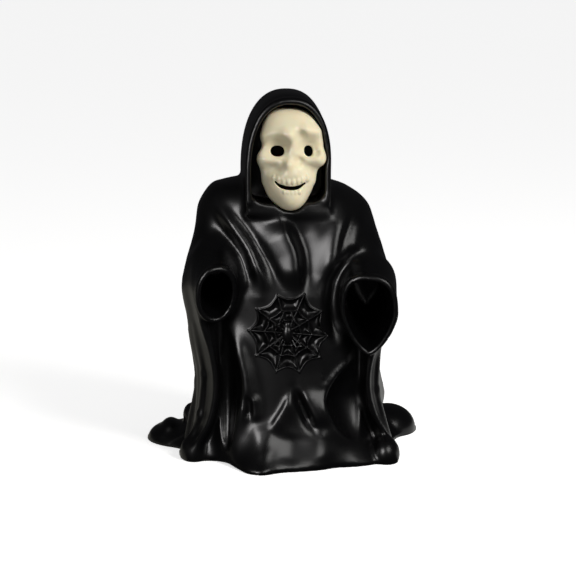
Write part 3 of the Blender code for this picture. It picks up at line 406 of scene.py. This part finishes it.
def folds(u, v, strokes):
    """Height of the carved strokes over the flat (u, v)."""
    u, v = np.broadcast_arrays(u, v)
    height = np.zeros(u.shape)
    for path, left, right, rise in strokes:
        path = rounded_path(path)
        reach = 3.0 * max(left, right)
        near = ((u > path[:, 0].min() - reach) & (u < path[:, 0].max() + reach)
                & (v > path[:, 1].min() - reach) & (v < path[:, 1].max() + reach))
        distance, place, side = along_path(u[near], v[near], path)
        taper = 0.15 + 0.85 * smooth_step(place, 0.0, 0.3) * smooth_step(1.0 - place, 0.0, 0.3)
        width = np.where(side > 0.0, right, left)
        height[near] += rise * taper * np.exp(-(distance / width) ** 2)
    return height


def oval(u, v, half_u, half_v, power):
    """Signed distance, measured from the middle, to a superellipse."""
    reach = np.maximum(np.hypot(u, v), 1e-3)
    value = ((np.abs(u) / half_u) ** power + (np.abs(v) / half_v) ** power) ** (1.0 / power)
    return reach - reach / np.maximum(value, 1e-5)


def ellipsoid(x, y, z, centre, radii):
    """Close to the distance from an ellipsoid; radii may differ from place to place."""
    px, py, pz = x - centre[0], y - centre[1], z - centre[2]
    level = np.sqrt((px / radii[0]) ** 2 + (py / radii[1]) ** 2 + (pz / radii[2]) ** 2)
    steep = np.sqrt((px / radii[0] ** 2) ** 2 + (py / radii[1] ** 2) ** 2 + (pz / radii[2] ** 2) ** 2)
    return level * (level - 1.0) / np.maximum(steep, 1e-6)


def superellipsoid(x, y, z, centre, half, narrower, power):
    """A rounded block that reaches half[1] to the front of its centre and half[3] to its back."""
    px, py, pz = x - centre[0], y - centre[1], z - centre[2]
    depth = np.where(py < 0.0, half[1], half[3])
    level = ((np.abs(px) / (half[0] - narrower)) ** power + (np.abs(py) / depth) ** 2.3
             + (np.abs(pz) / half[2]) ** power) ** (1.0 / power)
    reach = np.sqrt(px**2 + py**2 + pz**2)
    return reach - reach / np.maximum(level, 1e-4)


def round_cone(x, y, z, start, start_radius, end, end_radius):
    """A rounded bar between two points with a radius at each."""
    start, end = np.array(start, float), np.array(end, float)
    run = end - start
    t = ((x - start[0]) * run[0] + (y - start[1]) * run[1] + (z - start[2]) * run[2]) / (run @ run)
    t = np.clip(t, 0.0, 1.0)
    gap = np.sqrt((x - start[0] - t * run[0]) ** 2 + (y - start[1] - t * run[1]) ** 2
                  + (z - start[2] - t * run[2]) ** 2)
    return gap - (start_radius + t * (end_radius - start_radius))


def hem_radius(angle):
    """Radius of the hem's outline at an angle seen from above."""
    outline = np.array(HEM_OUTLINE, float)
    angles = np.unwrap(np.arctan2(outline[:, 1], outline[:, 0]))
    radii = np.hypot(outline[:, 0], outline[:, 1])
    turn = 2.0 * math.pi
    knots = [(a + lap, r) for lap in (-turn, 0.0, turn) for a, r in zip(angles, radii)]
    return curve(np.mod(angle, turn), knots)


def front_depth(x, z):
    """How far forward the plain front of the body stands at (x, z)."""
    half = np.where(x < 0.0, curve(z, BODY_LEFT), curve(z, BODY_RIGHT))
    share = np.clip(1.0 - (np.abs(x) / half) ** BODY_POWER, 0.0, 1.0)
    return curve(z, BODY_FRONT) * share ** (1.0 / BODY_POWER)


def torso(x, y, carved_y, z):
    """Shoulders, skirt, hem and trains; carved_y is y moved by the folds of the front."""
    lip = HEM_LIP / PART
    height = np.maximum(z, 0.0)
    half_x = np.where(x < 0.0, curve(height, BODY_LEFT), curve(height, BODY_RIGHT))
    half_y = np.where(carved_y < 0.0, curve(height, BODY_FRONT), curve(height, BODY_BACK))
    reach = np.maximum(np.hypot(x, carved_y), 1e-3)
    value = ((np.abs(x) / half_x) ** BODY_POWER + (np.abs(carved_y) / half_y) ** BODY_POWER)
    radius = reach / np.maximum(value ** (1.0 / BODY_POWER), 1e-5)

    angle = np.arctan2(y, x)
    fade = smooth_step(BACK_FOLD_TOP - height, 0.0, BACK_FOLD_FADE)
    for middle, drift, half_width, rise in BACK_FOLDS:
        away = (angle - middle - drift * height) / half_width
        radius = radius + rise * fade * np.exp(-away**2)

    flare = HEM_FLARE
    for middle, half_width, thickness in TRAINS:
        flare = flare + thickness * np.exp(-((angle - middle) / half_width) ** 2)
    spread = np.exp(-((height / flare) ** FLARE_POWER))
    radius = radius * (1.0 - spread) + hem_radius(angle) * spread
    under = np.clip(1.0 - height / lip, 0.0, 1.0)
    radius = radius - lip * (1.0 - np.sqrt(1.0 - LIP_UNDERCUT * under**2))

    roll = np.where(y < 0.0, ROLL_FRONT, ROLL_BACK) * (y / ROLL_REACH) ** 2
    top = curve(x, SHOULDER_TOP) - roll
    shape = smooth_max(reach - radius, z - top, SHOULDER_ROLL)
    for centre, half, power in SKIRT_HOLLOWS:
        shape = smooth_max(shape, -superellipsoid(x, y, z, centre, half, 0.0, power), HOLLOW_BLEND)
    for centre, radii in HEM_LOBES:
        shape = smooth_min(shape, ellipsoid(x, y, z, centre, radii), LOBE_BLEND)
    return shape


def drape(x, y, z, stations):
    """A hanging fold whose plan is a chain of circles that change with height."""
    heights = [station[0] for station in stations]
    circles = []
    for index in range(3):
        circles.append([curve(z, [(h, station[1][index][axis]) for h, station in zip(heights, stations)])
                        for axis in range(3)])
    best = None
    for (x0, y0, r0), (x1, y1, r1) in zip(circles[:-1], circles[1:]):
        run_x, run_y = x1 - x0, y1 - y0
        t = np.clip(((x - x0) * run_x + (y - y0) * run_y) / (run_x**2 + run_y**2), 0.0, 1.0)
        bar = np.hypot(x - x0 - t * run_x, y - y0 - t * run_y) - (r0 + t * (r1 - r0))
        best = bar if best is None else smooth_min(best, bar, DRAPE_BLEND)
    return smooth_max(best, z - heights[-1], ARM_BLEND)


def sleeve_frame(axis, faces):
    """Side, upward and outward directions of a sleeve, and the direction its mouth faces."""
    axis = np.array(axis, float) / np.linalg.norm(axis)
    faces = np.array(faces, float) / np.linalg.norm(faces)
    side = np.cross(np.array([0.0, 0.0, 1.0]), -axis)
    side /= np.linalg.norm(side)
    up = np.cross(-axis, side)
    return side, up, axis, faces


def sleeve(x, y, z, mouth, axis, faces, half, powers, growth, depth):
    """Outside and cavity of a sleeve, an oval tube, and the distance out from its mouth's plane."""
    side, up, axis, faces = sleeve_frame(axis, faces)
    px, py, pz = x - mouth[0], y - mouth[1], z - mouth[2]
    out = px * faces[0] + py * faces[1] + pz * faces[2]
    run = px * axis[0] + py * axis[1] + pz * axis[2]
    u = px * side[0] + py * side[1] + pz * side[2]
    v = px * up[0] + py * up[1] + pz * up[2]
    back = np.clip(-run, 0.0, SLEEVE_REACH)
    half_u = half[0] + growth[0] * back
    half_v = np.where(v > 0.0, half[1], half[2]) + growth[1] * back
    power = np.where(v > 0.0, powers[0], powers[1])
    section = oval(u, v, half_u, half_v, power)
    wall = CUFF_WALL / PART
    outside = smooth_max(section, out, MOUTH_EDGE)
    outside = smooth_max(outside, -run - SLEEVE_REACH, ARM_BLEND)
    rim = np.hypot(section + 0.5 * wall, out + 0.3 * wall) - CUFF_BEAD * wall
    outside = smooth_min(outside, rim, MOUTH_EDGE)
    cavity = smooth_max(section + wall, -out - depth / PART, CUFF_ROUND)
    return outside, cavity, out


def open_sleeve(shape, cavity, out):
    """Cut a sleeve's cavity, less deep where it would come within a wall of the outside."""
    mouth = smooth_step(out, *MOUTH_STRETCH)
    guard = shape + CUFF_WALL / PART - SLEEVE_REACH * mouth
    return smooth_max(shape, -smooth_max(cavity, guard, MOUTH_EDGE), MOUTH_EDGE)


def hood_axes(x, y):
    """Place in the hood's own turned directions, measured from the pivot."""
    cos, sin = math.cos(HOOD_TURN), math.sin(HOOD_TURN)
    px, py = x - HOOD_PIVOT[0], y - HOOD_PIVOT[1]
    return px * cos + py * sin, -px * sin + py * cos


def hood(x, y, z):
    """Outside and cavity of the hood: a pointed arch drawn back into a dome."""
    across, along = hood_axes(x, y)
    shrink = np.sqrt(np.clip(1.0 - (np.maximum(along, 0.0) / HOOD_BACK) ** 2, 0.02, 1.0))
    half = curve(along, HOOD_HALF_WIDTH) * shrink
    rise = curve(along, HOOD_RISE) * shrink
    above = np.maximum(z - HOOD_SPRING, 0.0)
    across = across - HOOD_LEAN * above
    outside = oval(across, above, half, rise, HOOD_POWER)
    outside = smooth_max(outside, HOOD_RIM - along, RIM_EDGE)
    outside = smooth_max(outside, along - CROWN_SHARE * HOOD_BACK, CROWN_EDGE)
    outside = smooth_max(outside, HOOD_FOOT - z, CROWN_EDGE)
    wall = HOOD_WALL / PART
    bead = np.hypot(oval(across, above, half, rise, HOOD_POWER) + 0.5 * wall, along - HOOD_RIM - 1.0)
    bead = smooth_max(bead - RIM_BEAD * wall, COLLAR_HEIGHT - z, RIM_EDGE)
    outside = smooth_min(outside, bead, MOUTH_EDGE)
    inside = oval(across, above, half - wall, rise - HOOD_TOP_WALL / PART, HOOD_POWER)
    collar = COLLAR_HEIGHT + COLLAR_RISE * (across / COLLAR_HALF) ** 2
    inside = smooth_max(inside, collar - z, COLLAR_ROUND)
    inside = smooth_max(inside, y - SEAT_PLANE, SEAT_EDGE)
    return outside, inside


def skull_form(x, y, z):
    """Outer form of the skull before its holes are cut."""
    x = x - SKULL_MIDDLE
    narrow = smooth_step(y, *TEMPLES)
    leaning = x + SKULL_LEAN * np.maximum(z - SKULL_LEAN_FROM, 0.0)
    form = superellipsoid(leaning, y, z, CRANIUM, CRANIUM_HALF, CRANIUM_TAPER * narrow, SKULL_POWER)
    narrower = JAW_TAPER * narrow + JAW_POINT * np.maximum(JAW_POINT_FROM - z, 0.0)
    form = smooth_min(form, superellipsoid(x, y, z, JAW, JAW_HALF, narrower, 2.0), JAW_BLEND)
    for centre, radii, blend in FACE_MOUNDS:
        form = smooth_min(form, ellipsoid(x, y, z, centre, radii), blend)
    for start, start_radius, end, end_radius, blend in FACE_RIDGES:
        form = smooth_min(form, round_cone(x, y, z, start, start_radius, end, end_radius), blend)
    for centre, radii, blend in FACE_HOLLOWS:
        form = smooth_max(form, -ellipsoid(x, y, z, centre, radii), blend)
    bridge = round_cone(x, y, z, *NOSE_BRIDGE)
    return smooth_min(form, bridge, BRIDGE_BLEND)


def skull_teeth(x, y, z, form):
    """The form with its rows of teeth."""
    x = x - SKULL_MIDDLE
    for count, pitch, row_middle, height, radii in TOOTH_ROWS:
        for index in range(count):
            middle = (index - 0.5 * (count - 1)) * pitch
            front = TEETH_FRONT + TEETH_CURVE * middle**2
            centre = (row_middle + middle, front, height + TEETH_RISE * middle**2)
            form = smooth_min(form, ellipsoid(x, y, z, centre, radii), TOOTH_BLEND)
    return form


def skull_mask(x, y, z):
    """The moulded mask: a shell open at its back, with eye holes and a cut smile."""
    form = skull_form(x, y, z)
    wall = SKULL_WALL / PART
    shell = smooth_max(skull_teeth(x, y, z, form), -(form + wall), HOLE_EDGE)
    back = SEAT_PLANE - SEAT_GAP / PART
    shell = smooth_max(shell, y - back, HOLE_EDGE)
    for middle, height, half_x, half_z, lean in EYES:
        across = x - SKULL_MIDDLE - middle + lean * (y - EYE_DEPTH)
        hole = oval(across, z - height, half_x, half_z, 2.2)
        shell = smooth_max(shell, -smooth_max(hole, y - HOLE_END, HOLE_EDGE), 2.0 * HOLE_EDGE)
    path = rounded_path([(u + SKULL_MIDDLE, v) for u, v in SMILE])
    distance, place, _ = along_path(x, z, path)
    gape = SMILE_HALF_HEIGHT * (0.5 + 0.5 * smooth_step(place, 0.0, 0.3) * smooth_step(1 - place, 0.0, 0.3))
    return smooth_max(shell, -smooth_max(distance - gape, y - HOLE_END, HOLE_EDGE), HOLE_EDGE)


def robe_clay(x, y, z):
    """The whole black figure but for its web."""
    carved_y = y + folds(x, z, FRONT_FOLDS) * smooth_step(-y, *CARVED_FROM)
    shape = torso(x, y, carved_y, z)
    shape = smooth_min(shape, drape(x, y, z, LEFT_DRAPE), DRAPE_BLEND)
    shape = smooth_min(shape, drape(x, y, z, RIGHT_DRAPE), DRAPE_BLEND)
    for start, start_radius, end, end_radius in FLUTES:
        flute = round_cone(x, y, z, start, start_radius, end, end_radius)
        shape = smooth_min(shape, flute, FLUTE_BLEND)
    for start, start_radius, end, end_radius in UPPER_ARMS:
        arm = round_cone(x, carved_y, z, start, start_radius, end, end_radius)
        shape = smooth_min(shape, arm, ARM_BLEND)
    sleeves = [sleeve(x, y, z, LEFT_MOUTH, LEFT_SLEEVE_AXIS, LEFT_MOUTH_FACES, LEFT_MOUTH_HALF,
                      LEFT_MOUTH_POWERS, LEFT_SLEEVE_GROWTH, LEFT_CUFF_DEPTH),
               sleeve(x, y, z, RIGHT_MOUTH, RIGHT_SLEEVE_AXIS, RIGHT_MOUTH_FACES, RIGHT_MOUTH_HALF,
                      RIGHT_MOUTH_POWERS, RIGHT_SLEEVE_GROWTH, RIGHT_CUFF_DEPTH)]
    for outside, _, _ in sleeves:
        shape = smooth_min(shape, outside, SLEEVE_BLEND)
    for _, cavity, out in sleeves:
        shape = open_sleeve(shape, cavity, out)
    outside, inside = hood(x, y, z)
    shape = smooth_min(shape, outside, HOOD_BLEND)
    shape = smooth_max(shape, -inside, OPENING_EDGE)
    seat = smooth_max(skull_form(x, y, z) - SKULL_CLEARANCE / PART, y - SEAT_PLANE, SEAT_EDGE)
    return smooth_max(shape, -seat, OPENING_EDGE)


def part_pinches(grid, step):
    """Turn the weakest corner of each grid square whose signs alternate, so no edge is shared by four."""
    for _ in range(12):
        changed = 0
        for axis in range(3):
            square = np.moveaxis(grid, axis, 0)
            a, b = square[:, :-1, :-1], square[:, 1:, :-1]
            c, d = square[:, 1:, 1:], square[:, :-1, 1:]
            pinched = ((a < 0) == (c < 0)) & ((b < 0) == (d < 0)) & ((a < 0) != (b < 0))
            places = np.argwhere(pinched)
            for n, i, j in places:
                corners = [(n, i, j), (n, i + 1, j), (n, i + 1, j + 1), (n, i, j + 1)]
                weakest = min(corners, key=lambda corner: abs(square[corner]))
                square[weakest] = -math.copysign(0.02 * step, square[weakest])
            changed += len(places)
        if changed == 0:
            break


def clay_mesh(field, low, high, step):
    """Vertices and quads of a field's zero surface: one vertex for each cell that it crosses."""
    axes = [np.arange(a, b + step, step) for a, b in zip(low, high)]
    grid = field(axes[0][:, None, None], axes[1][None, :, None], axes[2][None, None, :])
    part_pinches(grid, step)
    inside = grid < 0.0
    shape = np.array(grid.shape) - 1
    count = np.zeros(shape, int)
    corners = [(i, j, k) for i in (0, 1) for j in (0, 1) for k in (0, 1)]
    for i, j, k in corners:
        count += inside[i:i + shape[0], j:j + shape[1], k:k + shape[2]]
    cells = np.argwhere((count > 0) & (count < 8))
    values = {c: grid[cells[:, 0] + c[0], cells[:, 1] + c[1], cells[:, 2] + c[2]] for c in corners}
    total = np.zeros((len(cells), 3))
    crossings = np.zeros(len(cells))
    for a in corners:
        for axis in range(3):
            if a[axis] == 1:
                continue
            b = tuple(1 if n == axis else a[n] for n in range(3))
            crossed = (values[a] < 0.0) != (values[b] < 0.0)
            t = np.where(crossed, values[a] / np.where(crossed, values[a] - values[b], 1.0), 0.0)
            for n in range(3):
                total[:, n] += crossed * (t if n == axis else a[n])
            crossings += crossed
    points = np.array(low, float) + step * (cells + total / crossings[:, None])

    number = np.full(shape, -1)
    number[tuple(cells.T)] = np.arange(len(cells))
    quads = []
    for axis in range(3):
        second, third = (axis + 1) % 3, (axis + 2) % 3
        ahead = np.roll(inside, -1, axis)
        edges = np.argwhere(inside != ahead)
        keep = ((edges[:, axis] < shape[axis]) & (edges[:, second] > 0) & (edges[:, third] > 0)
                & (edges[:, second] < shape[second]) & (edges[:, third] < shape[third]))
        edges = edges[keep]
        ring = []
        for back_second, back_third in ((1, 1), (0, 1), (0, 0), (1, 0)):
            cell = edges.copy()
            cell[:, second] -= back_second
            cell[:, third] -= back_third
            ring.append(number[tuple(cell.T)])
        ring = np.stack(ring, 1)
        outward = inside[tuple(edges.T)]
        quads.append(np.where(outward[:, None], ring, ring[:, ::-1]))
    return points, np.vstack(quads)


def settle(points, field, step, rounds=2):
    """Move the points onto the field's zero surface along its slope."""
    probe = 0.25 * step
    for _ in range(rounds):
        value = field(*points.T)
        slope = np.zeros_like(points)
        for axis in range(3):
            shift = np.zeros(3)
            shift[axis] = probe
            slope[:, axis] = (field(*(points + shift).T) - field(*(points - shift).T)) / (2.0 * probe)
        move = value[:, None] * slope / np.maximum((slope**2).sum(1), 0.05)[:, None]
        length = np.maximum(np.linalg.norm(move, axis=1), 1e-9)
        points = points - move * np.minimum(1.0, 0.6 * step / length)[:, None]
    return points


def clay_piece(name, field, corners, step):
    """An object of a field's surface, sampled at a step."""
    points, quads = clay_mesh(field, *corners, step)
    points = settle(points, field, step, 2) * PART
    mesh = bpy.data.meshes.new(name)
    mesh.from_pydata(points.tolist(), [], quads.tolist())
    piece = bpy.data.objects.new(name, mesh)
    bpy.context.scene.collection.objects.link(piece)
    mesh.polygons.foreach_set("use_smooth", np.ones(len(mesh.polygons), bool))
    return piece


def flat_bottom(piece):
    """Cut the piece flat where it stands."""
    mesh = bmesh.new()
    mesh.from_mesh(piece.data)
    geometry = mesh.verts[:] + mesh.edges[:] + mesh.faces[:]
    cut = bmesh.ops.bisect_plane(mesh, geom=geometry, dist=1e-6, plane_co=(0, 0, 0),
                                 plane_no=(0, 0, 1), clear_inner=True)
    edges = [item for item in cut["geom_cut"] if isinstance(item, bmesh.types.BMEdge)]
    closed = bmesh.ops.holes_fill(mesh, edges=edges)
    for face in closed["faces"]:
        face.smooth = False
    mesh.to_mesh(piece.data)
    mesh.free()


def web_relief(x, z):
    """Height over the plain chest of the web's threads and of the cells sunk between them."""
    u, v = x - WEB_MIDDLE[0], z - WEB_MIDDLE[1]
    radius = np.hypot(u, v)
    starts = np.array([spoke[0] for spoke in WEB_SPOKES])
    reaches = np.array([spoke[1] for spoke in WEB_SPOKES]) * WEB_RADIUS / PART
    places = (starts - starts[0]) % 360.0
    widths = np.append(places[1:], 360.0) - places
    turned = (np.degrees(np.arctan2(v, u)) - starts[0]) % 360.0
    index = np.searchsorted(places, turned, side="right") - 1
    share = (turned - places[index]) / widths[index]
    reach = reaches[index] * (1.0 - share) + reaches[(index + 1) % len(reaches)] * share
    bow = 1.0 - (2.0 * share - 1.0) ** 2
    away = np.minimum(share, 1.0 - share) * widths[index]
    to_spoke = radius * np.sin(np.radians(np.minimum(away, 90.0)))
    to_ring = np.full(radius.shape, 1e3)
    for ring, sag in list(zip(WEB_RINGS, WEB_SAG))[1:]:
        edge = radius - ring * reach * (1.0 - sag * bow)
        to_ring = np.minimum(to_ring, np.abs(edge))
    hub = np.maximum(radius - WEB_RINGS[0] * reach, 0.0)
    to_spoke = np.where(edge > SPOKE_END, 1e3, to_spoke)
    thread = np.minimum(np.minimum(to_spoke, to_ring), hub)
    sunk = -CELL_DEPTH * (1.0 - np.exp(-thread / CELL_SLOPE))
    sunk = np.where(edge > 0.0, 0.0, sunk)
    return sunk + THREAD_RISE * np.exp(-(thread / THREAD_HALF) ** 2)


def on_web(vertex):
    """Whether a vertex lies where the web is pressed into the chest."""
    across = abs(vertex.co.x - WEB_MIDDLE[0] * PART)
    up = abs(vertex.co.z - WEB_MIDDLE[1] * PART)
    in_front = vertex.co.y < CHEST_FROM and vertex.normal.y < CHEST_FACING
    return across < WEB_HALF and up < WEB_HALF and in_front


def carve_web(robe):
    """Divide the chest finely and press the web into it."""
    mesh = bmesh.new()
    mesh.from_mesh(robe.data)
    edges = [edge for edge in mesh.edges if all(on_web(vertex) for vertex in edge.verts)]
    bmesh.ops.subdivide_edges(mesh, edges=edges, cuts=WEB_CUTS, use_grid_fill=True, smooth=0.0)
    chosen = [vertex for vertex in mesh.verts if on_web(vertex)]
    places = np.array([vertex.co for vertex in chosen]) / PART
    heights = web_relief(places[:, 0], places[:, 2]) * PART
    for vertex, height in zip(chosen, heights):
        vertex.co.y -= height
    for face in mesh.faces:
        face.smooth = True
    mesh.to_mesh(robe.data)
    mesh.free()


def spider(x, y, z):
    """The spider on the web: an egg of a body, a small head and eight bent legs."""
    x, z = x - WEB_MIDDLE[0], z - WEB_MIDDLE[1]
    depth = float(front_depth(np.array(WEB_MIDDLE[0]), np.array(WEB_MIDDLE[1])))
    y = y + depth
    long_half, wide_half = 0.5 * SPIDER_LENGTH / PART, 0.5 * SPIDER_WIDTH / PART
    form = ellipsoid(x, y, z, (0, SPIDER_DEPTH, -0.16 * long_half),
                     (wide_half, 0.9 * wide_half, 0.84 * long_half))
    head = ellipsoid(x, y, z, (0, SPIDER_DEPTH, 0.66 * long_half),
                     (0.66 * wide_half, 2.6, 0.34 * long_half))
    form = smooth_min(form, head, HEAD_BLEND)
    for knee, foot in LEGS:
        for side in (-1, 1):
            hip = (side * HIP_OUT, 1.0, 0.25 * knee[1])
            bend = (side * knee[0], -KNEE_LIFT, knee[1])
            end = (side * foot[0], FOOT_DEPTH, foot[1])
            thigh = round_cone(x, y, z, hip, LEG_RADIUS, bend, LEG_RADIUS)
            shin = round_cone(x, y, z, bend, LEG_RADIUS, end, 0.7 * LEG_RADIUS)
            form = smooth_min(form, smooth_min(thigh, shin, KNEE_BLEND), HIP_BLEND)
    return form


def shader_nodes(name):
    """A new material's nodes, links and shader."""
    mat = bpy.data.materials.new(name)
    mat.use_nodes = True
    return mat, mat.node_tree.nodes, mat.node_tree.links, mat.node_tree.nodes["Principled BSDF"]


def noise(nodes, links, scale, detail, place):
    """Fractal noise over the object's own coordinates."""
    texture = nodes.new("ShaderNodeTexNoise")
    texture.inputs["Scale"].default_value = scale
    texture.inputs["Detail"].default_value = detail
    links.new(place, texture.inputs["Vector"])
    return texture.outputs["Fac"]


def spread(nodes, links, value, low, high, to_low, to_high):
    """The value's range from low to high, moved to another range."""
    change = nodes.new("ShaderNodeMapRange")
    for socket, number in zip(("From Min", "From Max", "To Min", "To Max"), (low, high, to_low, to_high)):
        change.inputs[socket].default_value = number
    links.new(value, change.inputs["Value"])
    return change.outputs["Result"]


def blend_colours(nodes, links, share, first, second):
    """A mix of two colours by a share."""
    mix = nodes.new("ShaderNodeMix")
    mix.data_type = "RGBA"
    mix.inputs["A"].default_value = (*first, 1.0)
    mix.inputs["B"].default_value = (*second, 1.0)
    links.new(share, mix.inputs["Factor"])
    return mix.outputs["Result"]


def bump(nodes, links, height, strength, distance):
    """A bump node that reads a height."""
    node = nodes.new("ShaderNodeBump")
    node.inputs["Strength"].default_value = strength
    node.inputs["Distance"].default_value = distance
    links.new(height, node.inputs["Height"])
    return node


def moulded_plastic(name, colours, scales, roughness, grain_size):
    """A plastic with faintly uneven colour and polish, and a fine grain."""
    mat, nodes, links, shader = shader_nodes(name)
    place = nodes.new("ShaderNodeTexCoord").outputs["Object"]
    broad = noise(nodes, links, scales[0], 3.0, place)
    fine = noise(nodes, links, scales[1], 2.0, place)
    share = spread(nodes, links, broad, 0.3, 0.7, 0.0, 1.0)
    links.new(blend_colours(nodes, links, share, *colours), shader.inputs["Base Color"])
    links.new(spread(nodes, links, broad, 0.3, 0.7, *roughness), shader.inputs["Roughness"])
    grain = bump(nodes, links, fine, *grain_size)
    links.new(grain.outputs["Normal"], shader.inputs["Normal"])
    return mat, broad, grain


def black_plastic():
    """Moulded gloss black with a faint waviness under its grain."""
    mat, broad, grain = moulded_plastic("gloss_black_plastic", BLACK_COLOURS, BLACK_NOISE,
                                        BLACK_ROUGHNESS, BLACK_GRAIN)
    nodes, links = mat.node_tree.nodes, mat.node_tree.links
    wave = bump(nodes, links, broad, *BLACK_WAVE)
    links.new(wave.outputs["Normal"], grain.inputs["Normal"])
    nodes["Principled BSDF"].inputs["IOR"].default_value = 1.5
    return mat


def cream_plastic():
    """Moulded cream plastic that lets a little light in, like wax."""
    mat, _, _ = moulded_plastic("cream_plastic", CREAM_COLOURS, CREAM_NOISE, CREAM_ROUGHNESS, CREAM_GRAIN)
    shader = mat.node_tree.nodes["Principled BSDF"]
    shader.inputs["Subsurface Weight"].default_value = 0.35
    shader.inputs["Subsurface Radius"].default_value = (1.0, 0.62, 0.34)
    shader.inputs["Subsurface Scale"].default_value = CREAM_DEPTH
    shader.inputs["IOR"].default_value = 1.48
    return mat


def add_camera():
    """The camera at the photograph's angle."""
    data = bpy.data.cameras.new("photo_camera")
    data.sensor_width = SENSOR
    data.lens = SENSOR * CAMERA_DISTANCE / PART / (IMAGE_SIZE * PARTS_PER_PIXEL)
    camera = bpy.data.objects.new("photo_camera", data)
    bpy.context.scene.collection.objects.link(camera)
    aim = Vector((0.0, 0.0, AIM_HEIGHT))
    camera.location = aim + CAMERA_DISTANCE * Vector((0.0, -math.cos(CAMERA_RISE), math.sin(CAMERA_RISE)))
    camera.rotation_euler = (aim - camera.location).to_track_quat("-Z", "Y").to_euler()
    bpy.context.scene.camera = camera


def add_light(name, place, aim, size, strength, colour):
    """A soft rectangular light; its strength is the brightness of its face."""
    data = bpy.data.lights.new(name, "AREA")
    data.shape = "RECTANGLE"
    data.size, data.size_y = size
    data.energy = strength * math.pi * size[0] * size[1]
    data.color = colour
    light = bpy.data.objects.new(name, data)
    bpy.context.scene.collection.objects.link(light)
    light.location = place
    light.rotation_euler = (Vector(aim) - Vector(place)).to_track_quat("-Z", "Y").to_euler()
    return light


def add_sheet(name, near, far, height, base, colour, strength):
    """A level glowing sheet between two opposite corners, kept out of the piece, with its shader."""
    mesh = bpy.data.meshes.new(name)
    corners = [(near[0], near[1]), (far[0], near[1]), (far[0], far[1]), (near[0], far[1])]
    mesh.from_pydata([(x, y, height) for x, y in corners], [], [(0, 1, 2, 3)])
    sheet = bpy.data.objects.new(name, mesh)
    bpy.context.scene.collection.objects.link(sheet)
    mat, _, _, shader = shader_nodes(name)
    shader.inputs["Base Color"].default_value = (base, base, base, 1.0)
    shader.inputs["Emission Color"].default_value = (*colour, 1.0)
    shader.inputs["Emission Strength"].default_value = strength
    mesh.materials.append(mat)
    sheet.visible_diffuse = False
    return sheet, shader


def add_mirrored_card(name, near, far, colour, strength):
    """A glowing card on the floor that shows only where the plastic mirrors it."""
    card, _ = add_sheet(name, near, far, CARD_HEIGHT, 0.0, colour, strength)
    card.visible_camera = False
    card.visible_shadow = False


def add_studio():
    """Pale floor, soft lights, mirrored cards and the white surroundings."""
    corner = (FLOOR_HALF, FLOOR_HALF)
    opposite = (-FLOOR_HALF, -FLOOR_HALF)
    floor, shader = add_sheet("floor", opposite, corner, 0.0, 0.92, (1.0, 1.0, 1.0), FLOOR_GLOW)
    shader.inputs["Roughness"].default_value = 0.9
    floor.visible_glossy = False

    add_light("key_right", *KEY_RIGHT).visible_diffuse = False
    add_light("key_left", *KEY_LEFT).visible_diffuse = False
    add_light("side_key", *SIDE_KEY).visible_glossy = False
    add_mirrored_card("white_card", *WHITE_CARD)
    add_mirrored_card("dim_card", *DIM_CARD)

    world = bpy.data.worlds.new("studio")
    bpy.context.scene.world = world
    world.use_nodes = True
    nodes, links = world.node_tree.nodes, world.node_tree.links
    surroundings = nodes["Background"]
    surroundings.inputs["Color"].default_value = (0.9, 0.9, 0.95, 1.0)
    surroundings.inputs["Strength"].default_value = MIRRORED_WORLD_GLOW
    white = nodes.new("ShaderNodeBackground")
    white.inputs["Color"].default_value = (1.0, 1.0, 1.0, 1.0)
    white.inputs["Strength"].default_value = WORLD_GLOW
    rays = nodes.new("ShaderNodeLightPath")
    mix = nodes.new("ShaderNodeMixShader")
    links.new(rays.outputs["Is Glossy Ray"], mix.inputs["Fac"])
    links.new(white.outputs["Background"], mix.inputs[1])
    links.new(surroundings.outputs["Background"], mix.inputs[2])
    links.new(mix.outputs["Shader"], nodes["World Output"].inputs["Surface"])
    bpy.context.scene.view_settings.view_transform = "Standard"
    bpy.context.scene.view_settings.look = "None"


def main():
    """Build the pieces, the camera and the studio."""
    black = black_plastic()
    cream = cream_plastic()

    robe = clay_piece("robe_cast", robe_clay, ROBE_CORNERS, ROBE_SPACING)
    flat_bottom(robe)
    carve_web(robe)
    robe.data.materials.append(black)
    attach(robe, "root")
    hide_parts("robe")

    web_spider = clay_piece("web_spider", spider, SPIDER_CORNERS, SPIDER_SPACING)
    web_spider.data.materials.append(black)
    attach(web_spider, "root")

    skull = clay_piece("skull_mask", skull_mask, SKULL_CORNERS, SKULL_SPACING)
    skull.data.materials.append(cream)
    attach(skull, "root")
    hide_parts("skull")

    add_camera()
    add_studio()


main()
